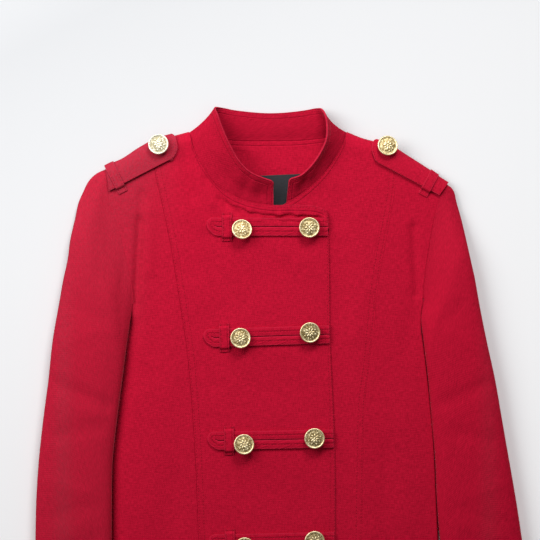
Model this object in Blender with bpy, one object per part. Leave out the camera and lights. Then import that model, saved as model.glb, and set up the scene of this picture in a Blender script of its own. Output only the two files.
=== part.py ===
"""A cropped military jacket, lying flat on its back on a table.

Lengths in the tables are in millimetres. X runs across the jacket, from the wearer's right (-X) to the
wearer's left, Y runs from the hem (0) up to the collar, and Z up from the table. Right and left are always
the wearer's. The last step puts the origin at the middle of the underside.
"""

import math
from collections import namedtuple

import bmesh
import bpy
import numpy as np
from mathutils import Matrix, Vector

MM = 0.001
NOTHING = 1e-6

# ---------------------------------------------------------------- cloth and gaps
WALL = 1.6  # heavy cotton twill with its turned edges
STRAP_WALL = 2.2  # epaulettes, two layers
COLLAR_WALL = 2.4  # collar stand, two layers and a stiffener
TAPE_WALL = 1.8  # doubled tape of the front fastenings
KEEPER_WALL = 1.3  # keeper loops
LABEL_WALL = 0.8
HALF_SEAM = 0.2  # each piece stops this far from the seam line
HALF_GROOVE = 0.6  # and this far where a sleeve lies beside the body
NECK_GAP = 1.1  # the collar leans, so its lower edge needs more room
REST_GAP = 0.3  # between a piece and what it rests on
LAY_GAP = 0.6  # below what lies on a panel
STRAP_GAP = 1.0  # below what bends over the shoulder's roll
BACK_INSET = 1.0  # the front's rolled edges hide the cut edge of the back panel
FRONT_FOOT = WALL + 0.9  # the rolled edges of the front stand on the back panel

# ---------------------------------------------------------------- outlines, seen from above
SHOULDER_RIGHT = ((-199, 509), (-194, 512), (-178, 519), (-158, 532), (-137, 543), (-116, 549), (-101, 553))
SHOULDER_LEFT = ((80, 553), (97, 546), (125, 538), (146, 525), (160, 516), (174, 507), (187, 498),
                 (198, 491))

# From the shoulder point down the armhole to the underarm, then down the side to the hem.
ARMHOLE_RIGHT = ((-199, 509), (-197, 501), (-195, 488), (-194, 474), (-187, 451), (-179, 428), (-174, 405),
                 (-169, 382), (-166, 359))
SIDE_RIGHT = ((-166, 359), (-168, 340), (-172, 313), (-178, 267), (-184, 221), (-189, 175), (-190, 110),
              (-190, 50), (-190, 0))
ARMHOLE_LEFT = ((198, 491), (193, 486), (189, 478), (185, 468), (182, 457), (178, 436), (174, 411),
                (170, 382), (168, 359))
SIDE_LEFT = ((168, 359), (166, 336), (171, 290), (176, 244), (180, 200), (183, 140), (186, 60), (187, 0))

PRINCESS_RIGHT = ((-86, 0), (-90, 83), (-93, 163), (-98, 244), (-104, 307), (-112, 359), (-121, 416),
                  (-133, 474), (-140, 506), (-143, 540.3))
PRINCESS_LEFT = ((97, 0), (98, 106), (99, 175), (101, 244), (106, 283), (110, 325), (114, 367),
                 (121, 413), (130, 459), (135, 497), (135, 532.3))

NECK_RIGHT = ((-101, 553), (-98, 541), (-89, 520), (-74, 499), (-60, 485), (-43, 476), (-22, 470),
              (-5, 468))
NECK_LEFT = ((80, 553), (78, 545), (70, 528), (55, 506), (40, 491), (26, 480), (8, 469))
FRONT_EDGE = ((67, 0), (66, 198), (61, 317), (60, 393), (59, 452))
EXTENSION_TOP = ((-5, 468), (26, 466), (50, 462), (57, 458), (59, 452))  # right front, past the collar
UNDERLAP_EDGE = ((-42, 0), (-44, 198), (-47, 317), (-48, 393), (-48, 450))
UNDERLAP_TOP = ((-48, 450), (-42, 458), (-6, 463), (8, 469))  # left front, hidden below the right one
BACK_NECK = ((-97, 551.5), (-75, 547.4), (-52, 545), (-10, 544), (31, 545), (54, 547.4), (76, 551.5))
UNDERARM_Y = 359
HEM_RIGHT_X = -190
HEM_LEFT_X = 187
CUFF_Y = -92

# ---------------------------------------------------------------- heights of the body
Height = namedtuple("Height", "y z")
BODY_HEIGHTS = (
    Height(0, 12.0),
    Height(80, 13.5),
    Height(200, 14.5),
    Height(320, 15.0),
    Height(430, 15.0),
    Height(500, 14.5),
    Height(560, 14.0),
)
CROWN = 0.14  # share of the height that the body loses from its middle to its sides
BODY_HALF_WIDTH = 190
SHOULDER_ROLL = 15  # how far in from the shoulder line the cloth has rolled up to its full height
SHOULDER_POWER = 2.2  # 2 is a round edge, more is a fuller one
ROLL_FADE = 45  # the side rolls start at the underarm and are full this far below it
LAP_STEP = WALL + 0.9  # the left front lies this much lower where the right front covers it
LAP_REACH = 6  # it stays low this far past the right front's edge
LAP_EASE = 28  # and comes up again over this distance
NECK_Y = 470  # above the front's neck edge it comes up again too
NECK_EASE = 26

Fold = namedtuple("Fold", "x0 y0 x1 y1 width depth")
BODY_FOLDS = (
    Fold(-160, 460, -157, 385, 8, -2.6),  # from the right armhole down to the underarm
    Fold(-146, 455, -146, 395, 10, 0.9),
    Fold(153, 457, 157, 380, 8, -1.8),  # the same at the left
    Fold(-84, 428, -58, 345, 12, -1.4),  # from the first keeper towards the second button
    Fold(-96, 330, -70, 262, 12, -0.9),
    Fold(80, 420, 72, 345, 16, -0.9),
    Fold(-20, 385, 20, 372, 26, -1.2),  # hollows between the fastenings
    Fold(-18, 262, 22, 252, 26, -1.2),
    Fold(-16, 140, 24, 132, 26, -1.2),
    Fold(-135, 250, -150, 120, 22, 1.0),
    Fold(140, 240, 148, 110, 22, 1.0),
    Fold(130, 180, 118, 40, 16, -1.2),
    Fold(-120, 150, -132, 20, 16, -1.2),
)

# ---------------------------------------------------------------- sleeves
# The inner edge runs on above the underarm, inside the body, and the armhole cuts the tube there.
SLEEVE_RIGHT_OUTER = (
    (-279, -92), (-279, -44), (-279, 14), (-278, 83), (-277, 129), (-274, 175), (-269, 221), (-263, 267),
    (-258, 313), (-250, 359), (-246, 382), (-241, 405), (-238, 428), (-233, 451), (-228, 474), (-224, 483),
    (-221, 490), (-216, 498), (-208, 505), (-199, 509),
)
SLEEVE_RIGHT_INNER = (
    (-196, -92), (-193, -30), (-191, 20), (-190.5, 83), (-190, 129), (-189, 175), (-184, 221), (-178, 267),
    (-172, 313), (-168, 340), (-166, 359), (-160, 405), (-152, 451), (-142, 483), (-128, 509),
)
SLEEVE_LEFT_OUTER = (
    (306, -92), (300, -44), (292, 14), (282, 83), (275, 129), (267, 175), (259, 221), (251, 267),
    (241, 313), (232, 359), (228, 382), (223, 405), (218, 428), (213, 451), (207, 474), (205, 483),
    (202, 488), (198, 491),
)
SLEEVE_LEFT_INNER = (
    (220, -92), (209, -44), (197, 14), (189, 70), (184, 129), (182, 175), (178, 221), (174, 267),
    (168.5, 313),
    (166, 336), (168, 359), (160, 405), (150, 451), (142, 474), (134, 491),
)
SLEEVE_HEIGHTS = (Height(-92, 19), Height(0, 22), Height(150, 25), Height(300, 26), Height(400, 24),
                  Height(520, 19))
WIDEST = 0.44  # the sleeve is widest at this share of its height
CAP_HEIGHT = 3.6  # height of the sleeve's outer edge where it starts at the shoulder point
CAP_EASE = 85  # the sleeve takes its own height this far below the armhole
SLEEVE_FOLDS = (
    Fold(-252, 262, -196, 238, 9, -1.6),
    Fold(-250, 205, -205, 214, 10, -1.2),
    Fold(-262, 60, -214, 82, 12, -1.4),
    Fold(-255, -20, -225, 8, 12, 1.0),
    Fold(238, 262, 190, 240, 9, -1.4),
    Fold(246, 196, 205, 208, 10, -1.1),
    Fold(270, 62, 222, 84, 12, -1.4),
    Fold(282, -18, 240, 6, 12, 1.0),
)

Sleeve = namedtuple("Sleeve", "name outer inner armhole outer_round inner_round")
SLEEVES = (
    Sleeve("sleeve_right", SLEEVE_RIGHT_OUTER, SLEEVE_RIGHT_INNER, ARMHOLE_RIGHT, 0.62, 0.62),
    Sleeve("sleeve_left", SLEEVE_LEFT_OUTER, SLEEVE_LEFT_INNER, ARMHOLE_LEFT, 0.62, 0.40),
)

Roll = namedtuple("Roll", "line reach power")
SIDE_ROLLS = (Roll(SIDE_RIGHT, 20, 2.2), Roll(SIDE_LEFT, 14, 3.6))

# ---------------------------------------------------------------- collar
# One row for each section, from the right front end round the back to the left front end.
Stand = namedtuple("Stand", "seam_x seam_y seam_z top_x top_y top_z")
COLLAR = (
    Stand(-4, 469.5, 14.0, -3, 490, 25.0),
    Stand(-22, 470.9, 14.2, -17, 498, 27.0),
    Stand(-41.3, 476.9, 14.4, -31, 506, 28.5),
    Stand(-60.3, 486.3, 14.5, -43, 518, 29.5),
    Stand(-76.4, 503.5, 14.5, -53, 535, 30.0),
    Stand(-90.4, 525.8, 14.0, -62, 555, 28.0),
    Stand(-97.8, 544, 11.0, -68.5, 573, 22.0),
    Stand(-99.8, 551.5, 6.5, -71, 580, 13.5),
    Stand(-93, 552.5, 2.4, -64, 580.5, 5.4),
    Stand(-75, 548.0, 1.3, -52, 578, 3.0),
    Stand(-52, 545.5, 1.2, -37, 576, 2.4),
    Stand(-10, 544.5, 1.2, -8, 574, 2.2),
    Stand(31, 545.5, 1.2, 22, 576, 2.4),
    Stand(54, 548.0, 1.3, 36, 578, 3.0),
    Stand(72, 552.5, 2.4, 44, 579.5, 5.4),
    Stand(78.6, 551.5, 6.5, 50, 579, 13.5),
    Stand(76.8, 544, 11.0, 54.5, 573, 22.0),
    Stand(70.0, 530, 13.7, 57, 558, 27.0),
    Stand(61.2, 517, 14.0, 56, 543, 28.5),
    Stand(50.5, 502, 14.0, 49, 527, 28.5),
    Stand(36.8, 489.5, 13.6, 39, 513, 27.5),
    Stand(24, 480, 13.0, 26, 502, 26.0),
    Stand(11, 471, 12.4, 12.5, 487, 23.5),
)
SEAM_LIFT = 0.9  # clears the panels at the front
COLLAR_SECTIONS = 46
COLLAR_ROWS = (0, 0.3, 0.65, 1)
COLLAR_BOW = 1.6  # the stand bulges this much halfway up

LABEL_CENTRE = (2, 482)
LABEL_SIZE = (54, 42)
LABEL_TURN = math.radians(2.5)

# ---------------------------------------------------------------- front fastenings
Frog = namedtuple("Frog", "tip_x tip_y end_x end_y keeper_x")
FROGS = (
    Frog(-80.5, 443.0, 58.2, 443.0, -57.5),
    Frog(-84.0, 315.0, 60.2, 319.5, -60.5),
    Frog(-79.5, 197.0, 64.8, 199.8, -55.0),
    Frog(-78.0, 79.0, 65.8, 82.0, -54.0),
)
TAPE_WIDTH = 9.6
TAPE_SLIT = 0.9
TIP_LENGTH = 13
TAPE_STEPS = 9
KEEPER_WIDTH = 11
KEEPER_LENGTH = 33
KEEPER_RISE_START = 1.2  # the loop is down on the panel from 3.2 mm beside the tape
KEEPER_RISE_END = 3.2

# ---------------------------------------------------------------- epaulettes
# A strap is measured from its lower edge, a straight line from the sleeve seam to the inner end: s runs
# along that edge and t from it to the shoulder line. Slants are what its ends gain over the whole width.
Strap = namedtuple("Strap", "side shoulder sleeve_end inner_end outer_slant inner_slant corner keeper_at")
STRAPS = (
    Strap("right", SHOULDER_RIGHT, (-194.0, 483.5), (-112.0, 525.8), 9.5, 10.0, 9.0, 15.0),
    Strap("left", SHOULDER_LEFT, (187.5, 478.8), (106.0, 521.8), -2.5, 6.0, 13.0, 18.0),
)
KEEPER_GAP = 0.5
KEEPER_OVER = 0.8  # the keeper is still at full height this far below the strap's lower edge
KEEPER_DOWN = 3.0  # it is down on the panel here
KEEPER_REACH = 7  # and ends here

# ---------------------------------------------------------------- buttons
BUTTON_RADIUS = 11.8
BUTTON_SIDES = 20
SHANK_RADIUS = 3.2
Ring = namedtuple("Ring", "radius z")
BUTTON_PROFILE = (
    Ring(0, 0),
    Ring(SHANK_RADIUS, 0),
    Ring(SHANK_RADIUS, 3.6),
    Ring(9.5, 3.9),
    Ring(BUTTON_RADIUS, 4.9),
    Ring(BUTTON_RADIUS, 6.0),
    Ring(10.9, 6.7),
    Ring(9.8, 6.3),
    Ring(5.5, 7.2),
    Ring(0, 7.5),
)
Button = namedtuple("Button", "name x y lift lean toward")
OVER_TAPE, OVER_STRAP = 0.5, 0.6  # air between a button's back and the cloth below it
ON_TAPE = LAY_GAP + TAPE_WALL + OVER_TAPE
ON_STRAP = STRAP_GAP + STRAP_WALL + OVER_STRAP
BUTTONS = (
    Button("button_1_right", -41.0, 438.5, ON_TAPE, 18, 60),
    Button("button_1_left", 37.0, 441.5, ON_TAPE, 5, 80),
    Button("button_2_right", -42.5, 314.5, ON_TAPE, 11, 50),
    Button("button_2_left", 37.5, 321.5, ON_TAPE, 4, 20),
    Button("button_3_right", -38.5, 192.5, ON_TAPE, 13, 55),
    Button("button_3_left", 43.0, 200.0, ON_TAPE, 3, 90),
    Button("button_4_right", -37.5, 74.5, ON_TAPE, 8, 60),
    Button("button_4_left", 43.0, 82.0, ON_TAPE, 4, 60),
    Button("epaulette_button_right", -135.0, 535.5, ON_STRAP, 8, 118),
    Button("epaulette_button_left", 125.0, 532.5, ON_STRAP, 16, 60),
)

RED_TWILL = ("red_twill", (0.50, 0.012, 0.045), 0.85, 0.0)
BLACK_SATIN = ("black_satin", (0.012, 0.012, 0.014), 0.5, 0.0)
ANTIQUE_BRASS = ("antique_brass", (0.78, 0.60, 0.33), 0.35, 1.0)


# ---------------------------------------------------------------- lines and fractions
def smooth(points, step=3.0):
    """A soft curve through the points, as a fine polyline."""
    points = np.array(points, float)
    spans = np.linalg.norm(np.diff(points, axis=0), axis=1)
    marks = np.concatenate([[0], np.cumsum(spans)])
    slopes = np.gradient(points, marks, axis=0)
    at = np.linspace(0, marks[-1], max(3, int(marks[-1] / step)))
    i = np.clip(np.searchsorted(marks, at, side="right") - 1, 0, len(spans) - 1)
    h = spans[i][:, None]
    t = (at[:, None] - marks[i][:, None]) / h
    return (
        (1 + 2 * t) * (1 - t) ** 2 * points[i]
        + t * (1 - t) ** 2 * h * slopes[i]
        + t**2 * (3 - 2 * t) * points[i + 1]
        - t**2 * (1 - t) * h * slopes[i + 1]
    )


def marks_of(line):
    steps = np.linalg.norm(np.diff(line, axis=0), axis=1)
    return np.concatenate([[0], np.cumsum(steps)])


def along(line, fractions):
    """The points at these fractions of the line's length."""
    marks = marks_of(line)
    at = np.asarray(fractions) * marks[-1]
    return np.stack([np.interp(at, marks, line[:, k]) for k in range(line.shape[1])], axis=-1)


def x_on(line, y):
    """The x of a line that runs up or down the jacket."""
    order = np.argsort(line[:, 1])
    return np.interp(y, line[order, 1], line[order, 0])


def distance(x, y, line):
    """How far each point is from the line, seen from above."""
    start, end = line[:-1], line[1:]
    step = end - start
    from_start = np.stack([x, y], axis=-1)[..., None, :] - start
    share = np.clip((from_start * step).sum(-1) / (step**2).sum(-1), 0, 1)
    return np.linalg.norm(from_start - share[..., None] * step, axis=-1).min(-1)


def ease(start, end, value):
    """0 before start, 1 past end, and a soft change between them."""
    t = np.clip((value - start) / (end - start), 0, 1)
    return t * t * (3 - 2 * t)


def stations(length, near_start, near_end, count):
    """Fractions of a length: these distances from its ends, and count even steps between them."""
    first = max(near_start, default=0) / length
    last = 1 - max(near_end, default=0) / length
    between = np.linspace(first, last, count + 1)
    ends = [d / length for d in near_start] + [1 - d / length for d in near_end]
    return np.unique(np.round(np.concatenate([[0, 1], ends, between]), 6))


# ---------------------------------------------------------------- rows and columns of the panels
ROLL_STEPS = (0, 0.7, 2.4, 5.5, 10, 17)  # close together where the cloth rolls over an edge
UNDERARM_STEPS = (0, 2, 7)
SIDE_LENGTH = 360
SIDE_STEPS = (0, 10, 24)
ARMHOLE_LENGTH = 145
UNDERARM_SHARE = 0.7  # share of a panel's height below the underarm
SIDE_ROWS = stations(SIDE_LENGTH, (0,), SIDE_STEPS, 7)
ARMHOLE_ROWS = stations(ARMHOLE_LENGTH, UNDERARM_STEPS, ROLL_STEPS, 6)
ROWS_UP = np.concatenate([
    UNDERARM_SHARE * SIDE_ROWS[:-1],
    UNDERARM_SHARE + (1 - UNDERARM_SHARE) * ARMHOLE_ROWS,
])
SIDE_FRONT_WIDTH = 95
SIDE_FRONT_COLUMNS = stations(SIDE_FRONT_WIDTH, ROLL_STEPS, (0,), 4)
FRONT_COLUMNS = np.linspace(0, 1, 16)

# ---------------------------------------------------------------- the upper surface of the body
SHOULDERS = [smooth(SHOULDER_RIGHT), smooth(SHOULDER_LEFT)]
ROLLS = [Roll(smooth(roll.line), roll.reach, roll.power) for roll in SIDE_ROLLS]


def folds_at(x, y, folds):
    """The soft troughs and ridges of a table, added up."""
    total = np.zeros(np.shape(x))
    for fold in folds:
        line = np.array([(fold.x0, fold.y0), (fold.x1, fold.y1)], float)
        total += fold.depth * np.exp(-((distance(x, y, line) / fold.width) ** 2))
    return total


def rise(inward, reach, power):
    """The share of its height that a rolled edge has at a distance in from it."""
    short = 1 - np.clip(inward / reach, 0, 1)
    return (1 - short**power) ** (1 / power)


def top(x, y):
    """Height of the body's outer surface above the table."""
    x, y = np.broadcast_arrays(np.asarray(x, float), np.asarray(y, float))
    rows = np.array(BODY_HEIGHTS)
    full = np.interp(y, rows[:, 0], rows[:, 1]) * (1 - CROWN * (x / BODY_HALF_WIDTH) ** 2)
    full = full + folds_at(x, y, BODY_FOLDS)
    share = np.ones(x.shape)
    for line in SHOULDERS:
        share = share * rise(distance(x, y, line), SHOULDER_ROLL, SHOULDER_POWER)
    for line, reach, power in ROLLS:
        fade = ease(0, ROLL_FADE, line[0, 1] - y)
        edge = rise(np.abs(x - x_on(line, y)), reach, power)
        share = share * (1 - fade * (1 - edge))
    return FRONT_FOOT + (full - FRONT_FOOT) * share


def lapped(x, y):
    """The same for the left front, which is lower where the right front covers it."""
    past_edge = x - x_on(smooth(FRONT_EDGE), y)
    beside = 1 - ease(LAP_REACH, LAP_REACH + LAP_EASE, past_edge)
    above = 1 - ease(0, NECK_EASE, y - NECK_Y)
    return top(x, y) - LAP_STEP * beside * above


SLOPE_STEP = 0.25


def moved_out(x, y, lift, height=top):
    """Points of a surface moved out from it by lift, square to it."""
    step = SLOPE_STEP
    slope_x = (height(x + step, y) - height(x - step, y)) / (2 * step)
    slope_y = (height(x, y + step) - height(x, y - step)) / (2 * step)
    length = np.sqrt(1 + slope_x**2 + slope_y**2)
    z = height(x, y)
    return np.stack([x - lift * slope_x / length, y - lift * slope_y / length, z + lift / length], axis=-1)


# ---------------------------------------------------------------- objects
def material(name, colour, roughness, metallic):
    found = bpy.data.materials.get(name)
    if found:
        return found
    made = bpy.data.materials.new(name)
    made.use_nodes = True
    shader = made.node_tree.nodes["Principled BSDF"]
    shader.inputs["Base Color"].default_value = (*colour, 1.0)
    shader.inputs["Roughness"].default_value = roughness
    shader.inputs["Metallic"].default_value = metallic
    made.diffuse_color = (*colour, 1.0)
    return made


def add_object(name, bm, finish, sharp=60):
    mesh = bpy.data.meshes.new(name)
    bm.to_mesh(mesh)
    bm.free()
    mesh.shade_smooth()
    mesh.set_sharp_from_angle(angle=math.radians(sharp))
    mesh.materials.append(material(*finish))
    made = bpy.data.objects.new(name, mesh)
    bpy.context.scene.collection.objects.link(made)
    return made


def sheet(name, points, wall, offset, finish, tube=False, flip=False):
    """A cloth piece: a grid of points (rows, columns, xyz) with a wall from Solidify."""
    rows, columns = points.shape[:2]
    bm = bmesh.new()
    bmesh.ops.create_grid(bm, x_segments=columns - 1, y_segments=rows - 1, size=0.5)
    for vert in bm.verts:
        column = round((vert.co.x + 0.5) * (columns - 1))
        row = round((vert.co.y + 0.5) * (rows - 1))
        vert.co = Vector(points[row, column]) * MM
    if tube:
        bmesh.ops.remove_doubles(bm, verts=bm.verts, dist=1e-7)
    if flip:
        bmesh.ops.reverse_faces(bm, faces=bm.faces)
    made = add_object(name, bm, finish)
    solidify = made.modifiers.new("wall", "SOLIDIFY")
    solidify.thickness = wall * MM
    solidify.offset = offset
    return made


def at_height(row_ends, up, w):
    """Points between the ends of the rows, by their share of the height."""
    return np.stack([np.interp(w, up, row_ends[:, k]) for k in (0, 1)], axis=-1)


def patch(bottom, top_line, left, right, across, up, gaps):
    """A grid between two lines and the ends of its rows. Gaps are kept at the left, right and top."""
    corners = bottom[0], bottom[-1], top_line[0], top_line[-1]
    width = np.linalg.norm(left - right, axis=1)[:, None]
    height = np.linalg.norm(along(bottom, across) - along(top_line, across), axis=1)[None, :]
    gap_left, gap_right, gap_top = gaps
    u = gap_left / width + across[None, :] * (1 - (gap_left + gap_right) / width)
    w = up[:, None] * (1 - gap_top / height)
    u, w = u[..., None], w[..., None]
    sides = (1 - u) * at_height(left, up, w[..., 0]) + u * at_height(right, up, w[..., 0])
    ends = (1 - w) * along(bottom, u[..., 0]) + w * along(top_line, u[..., 0])
    bottom_ends = (1 - u) * corners[0] + u * corners[1]
    top_ends = (1 - u) * corners[2] + u * corners[3]
    return sides + ends - (1 - w) * bottom_ends - w * top_ends


def panel(name, grid, height):
    x, y = grid[..., 0], grid[..., 1]
    return sheet(name, np.dstack([x, y, height(x, y)]), WALL, -1, RED_TWILL)


# ---------------------------------------------------------------- body panels


def half_gap(y):
    """Half the gap between body and sleeve: a seam in the armhole, a groove below the underarm."""
    return HALF_SEAM + (HALF_GROOVE - HALF_SEAM) * ease(0, ROLL_FADE, UNDERARM_Y - y)


def outer_rows(side, armhole):
    """Where the rows start on the outer edge, which runs up the side and then up the armhole."""
    return joined(along(smooth(side[::-1]), SIDE_ROWS), along(smooth(armhole[::-1]), ARMHOLE_ROWS))


def hem(x0, x1):
    return smooth(((x0, 0), ((x0 + x1) / 2, 0), (x1, 0)))


def part_of(line, start_x, end_x):
    """The stretch of a line between two x values."""
    ends = np.array([[x, np.interp(x, line[:, 0], line[:, 1])] for x in (start_x, end_x)])
    inside = line[(line[:, 0] > start_x + 0.5) & (line[:, 0] < end_x - 0.5)]
    return np.vstack([ends[:1], inside, ends[1:]])


def joined(*lines):
    """Lines that follow each other, made one."""
    return np.vstack([lines[0]] + [line[1:] for line in lines[1:]])


def side_fronts():
    right_edge = outer_rows(SIDE_RIGHT, ARMHOLE_RIGHT)
    left_edge = outer_rows(SIDE_LEFT, ARMHOLE_LEFT)
    shoulder_right, shoulder_left = SHOULDERS
    princess_right = along(smooth(PRINCESS_RIGHT), ROWS_UP)
    princess_left = along(smooth(PRINCESS_LEFT), ROWS_UP)
    seam_x_right, seam_x_left = princess_right[-1, 0], princess_left[-1, 0]
    grid = patch(
        hem(HEM_RIGHT_X, princess_right[0, 0]),
        part_of(shoulder_right, shoulder_right[0, 0], seam_x_right),
        right_edge, princess_right, SIDE_FRONT_COLUMNS, ROWS_UP,
        (half_gap(right_edge[:, 1:]), HALF_SEAM, 0),
    )
    panel("side_front_right", grid, top)
    grid = patch(
        hem(princess_left[0, 0], HEM_LEFT_X),
        part_of(shoulder_left, seam_x_left, shoulder_left[-1, 0]),
        princess_left, left_edge, 1 - SIDE_FRONT_COLUMNS[::-1], ROWS_UP,
        (HALF_SEAM, half_gap(left_edge[:, 1:]), 0),
    )
    panel("side_front_left", grid, top)


def centre_fronts():
    shoulder_right, shoulder_left = SHOULDERS
    princess_right = along(smooth(PRINCESS_RIGHT), ROWS_UP)
    princess_left = along(smooth(PRINCESS_LEFT), ROWS_UP)
    grid = patch(
        hem(princess_right[0, 0], FRONT_EDGE[0][0]),
        joined(
            part_of(shoulder_right, princess_right[-1, 0], shoulder_right[-1, 0]),
            smooth(NECK_RIGHT),
            smooth(EXTENSION_TOP),
        ),
        princess_right, along(smooth(FRONT_EDGE), ROWS_UP), FRONT_COLUMNS, ROWS_UP,
        (HALF_SEAM, 0, NECK_GAP),
    )
    panel("front_right", grid, top)
    grid = patch(
        hem(UNDERLAP_EDGE[0][0], princess_left[0, 0]),
        joined(
            smooth(UNDERLAP_TOP),
            smooth(NECK_LEFT[::-1]),
            part_of(shoulder_left, shoulder_left[0, 0], princess_left[-1, 0]),
        ),
        along(smooth(UNDERLAP_EDGE), ROWS_UP), princess_left, FRONT_COLUMNS, ROWS_UP,
        (0, HALF_SEAM, NECK_GAP),
    )
    panel("front_left", grid, lapped)


def flat_piece(name, outline, low, wall, finish):
    """A flat piece cut to an outline, between two heights."""
    bm = bmesh.new()
    verts = [bm.verts.new(Vector((x, y, low)) * MM) for x, y in outline]
    face = bm.faces.new(verts)
    raised = bmesh.ops.extrude_face_region(bm, geom=[face])
    moved = [item for item in raised["geom"] if isinstance(item, bmesh.types.BMVert)]
    bmesh.ops.translate(bm, verts=moved, vec=(0, 0, wall * MM))
    bmesh.ops.recalc_face_normals(bm, faces=bm.faces)
    return add_object(name, bm, finish)


# Spacing of the points along the back's outline, closer where it bends more.
SIDE_SPACING, SHOULDER_SPACING, ARMHOLE_SPACING, NECK_SPACING = 16, 12, 9, 7


def back_panel():
    right = joined(smooth(SIDE_RIGHT[::-1], SIDE_SPACING), smooth(ARMHOLE_RIGHT[::-1], ARMHOLE_SPACING))
    left = joined(smooth(ARMHOLE_LEFT, ARMHOLE_SPACING), smooth(SIDE_LEFT, SIDE_SPACING))
    right, left = right + (BACK_INSET, 0), left - (BACK_INSET, 0)
    neck = smooth(BACK_NECK, NECK_SPACING)
    shoulder_right = smooth(SHOULDER_RIGHT, SHOULDER_SPACING)[1:-1] + (BACK_INSET / 2, -BACK_INSET)
    shoulder_left = smooth(SHOULDER_LEFT, SHOULDER_SPACING)[1:-1] + (-BACK_INSET / 2, -BACK_INSET)
    outline = np.vstack([right[:-1], shoulder_right, neck, shoulder_left, left[1:]])
    flat_piece("back", outline[::-1], 0, WALL, RED_TWILL)


# ---------------------------------------------------------------- sleeves
SLEEVE_ROWS = 18
ROW_SPREAD = 1.5  # above 1, rows are closer together near the armhole
LOWER_DROP = 1.3  # above 1, part of the sleeve's underside is flat on the table
LOWER_ROUND = 0.6
SHOULDER_EASE = 4.0  # the armhole slants at the shoulder point, so its gap is wider across


def sleeve(spec):
    outer, inner = smooth(spec.outer), smooth(spec.inner)
    seam = along(smooth(spec.armhole[::-1]), ARMHOLE_ROWS)  # from the underarm up to the shoulder point
    share = (seam[:, 0] - x_on(outer, seam[:, 1])) / (x_on(inner, seam[:, 1]) - x_on(outer, seam[:, 1]))
    share = np.clip(share, 0, 1)
    ring = np.concatenate([np.arccos(1 - 2 * share[::-1]), 2 * math.pi - np.arccos(1 - 2 * share[1:])])
    start_y = np.concatenate([seam[::-1, 1], seam[1:, 1]])
    share = (1 - np.cos(ring)) / 2
    down = np.linspace(0, 1, SLEEVE_ROWS + 1)[:, None] ** ROW_SPREAD
    y = start_y + (CUFF_Y - start_y) * down
    near = 1 - ease(0, CAP_EASE, start_y - y)
    inward = np.sign(x_on(inner, 0) - x_on(outer, 0))
    x_out, x_in = x_on(outer, y), x_on(inner, y)
    x = x_out + (x_in - x_out) * share - inward * half_gap(y) * (share + SHOULDER_EASE * near * (1 - share))

    # Near the armhole the upper half keeps the body's height, and the edge at the shoulder point is thin.
    heights = np.array(SLEEVE_HEIGHTS)
    high = np.interp(y, heights[:, 0], heights[:, 1]) + folds_at(x, y, SLEEVE_FOLDS)
    middle = WIDEST * high
    middle = middle + (CAP_HEIGHT - middle) * near * (1 - ease(0, 0.5, share))
    lean = np.abs(np.sin(ring))
    power = spec.outer_round + (spec.inner_round - spec.outer_round) * share
    upper = middle + (high - middle) * lean**power
    seam_height = top(x[0], start_y)
    upper = upper + (np.maximum(seam_height, CAP_HEIGHT) - upper) * near
    lower = np.maximum(0, middle * (1 - LOWER_DROP * lean**LOWER_ROUND))
    z = np.where(np.sin(ring) > NOTHING, upper, lower)
    points = np.dstack([x, y, z])
    points[:, -1] = points[:, 0]
    sheet(spec.name, points, WALL, -1, RED_TWILL, tube=True, flip=inward > 0)


# ---------------------------------------------------------------- collar and label
def collar():
    rows = np.array(COLLAR, float)
    rows[:, 2] += SEAM_LIFT * ease(8, 12, rows[:, 2])
    fractions = np.linspace(0, 1, COLLAR_SECTIONS)
    seam = along(smooth(rows[:, :3]), fractions)
    edge = along(smooth(rows[:, 3:]), fractions)
    up = np.array(COLLAR_ROWS)[:, None, None]
    points = seam + (edge - seam) * up
    run = np.gradient(points, axis=1)
    rise_up = edge - seam
    out = np.cross(run, np.broadcast_to(rise_up, run.shape))
    out /= np.linalg.norm(out, axis=-1, keepdims=True)
    points = points + out * COLLAR_BOW * 4 * up * (1 - up)
    sheet("collar", points, COLLAR_WALL, 0, RED_TWILL)


def neck_label():
    half_x, half_y = LABEL_SIZE[0] / 2, LABEL_SIZE[1] / 2
    corners = np.array([(-half_x, -half_y), (half_x, -half_y), (half_x, half_y), (-half_x, half_y)])
    cos, sin = math.cos(LABEL_TURN), math.sin(LABEL_TURN)
    outline = corners @ np.array([[cos, sin], [-sin, cos]]) + LABEL_CENTRE
    flat_piece("neck_label", outline, WALL + REST_GAP, LABEL_WALL, BLACK_SATIN)


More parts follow.
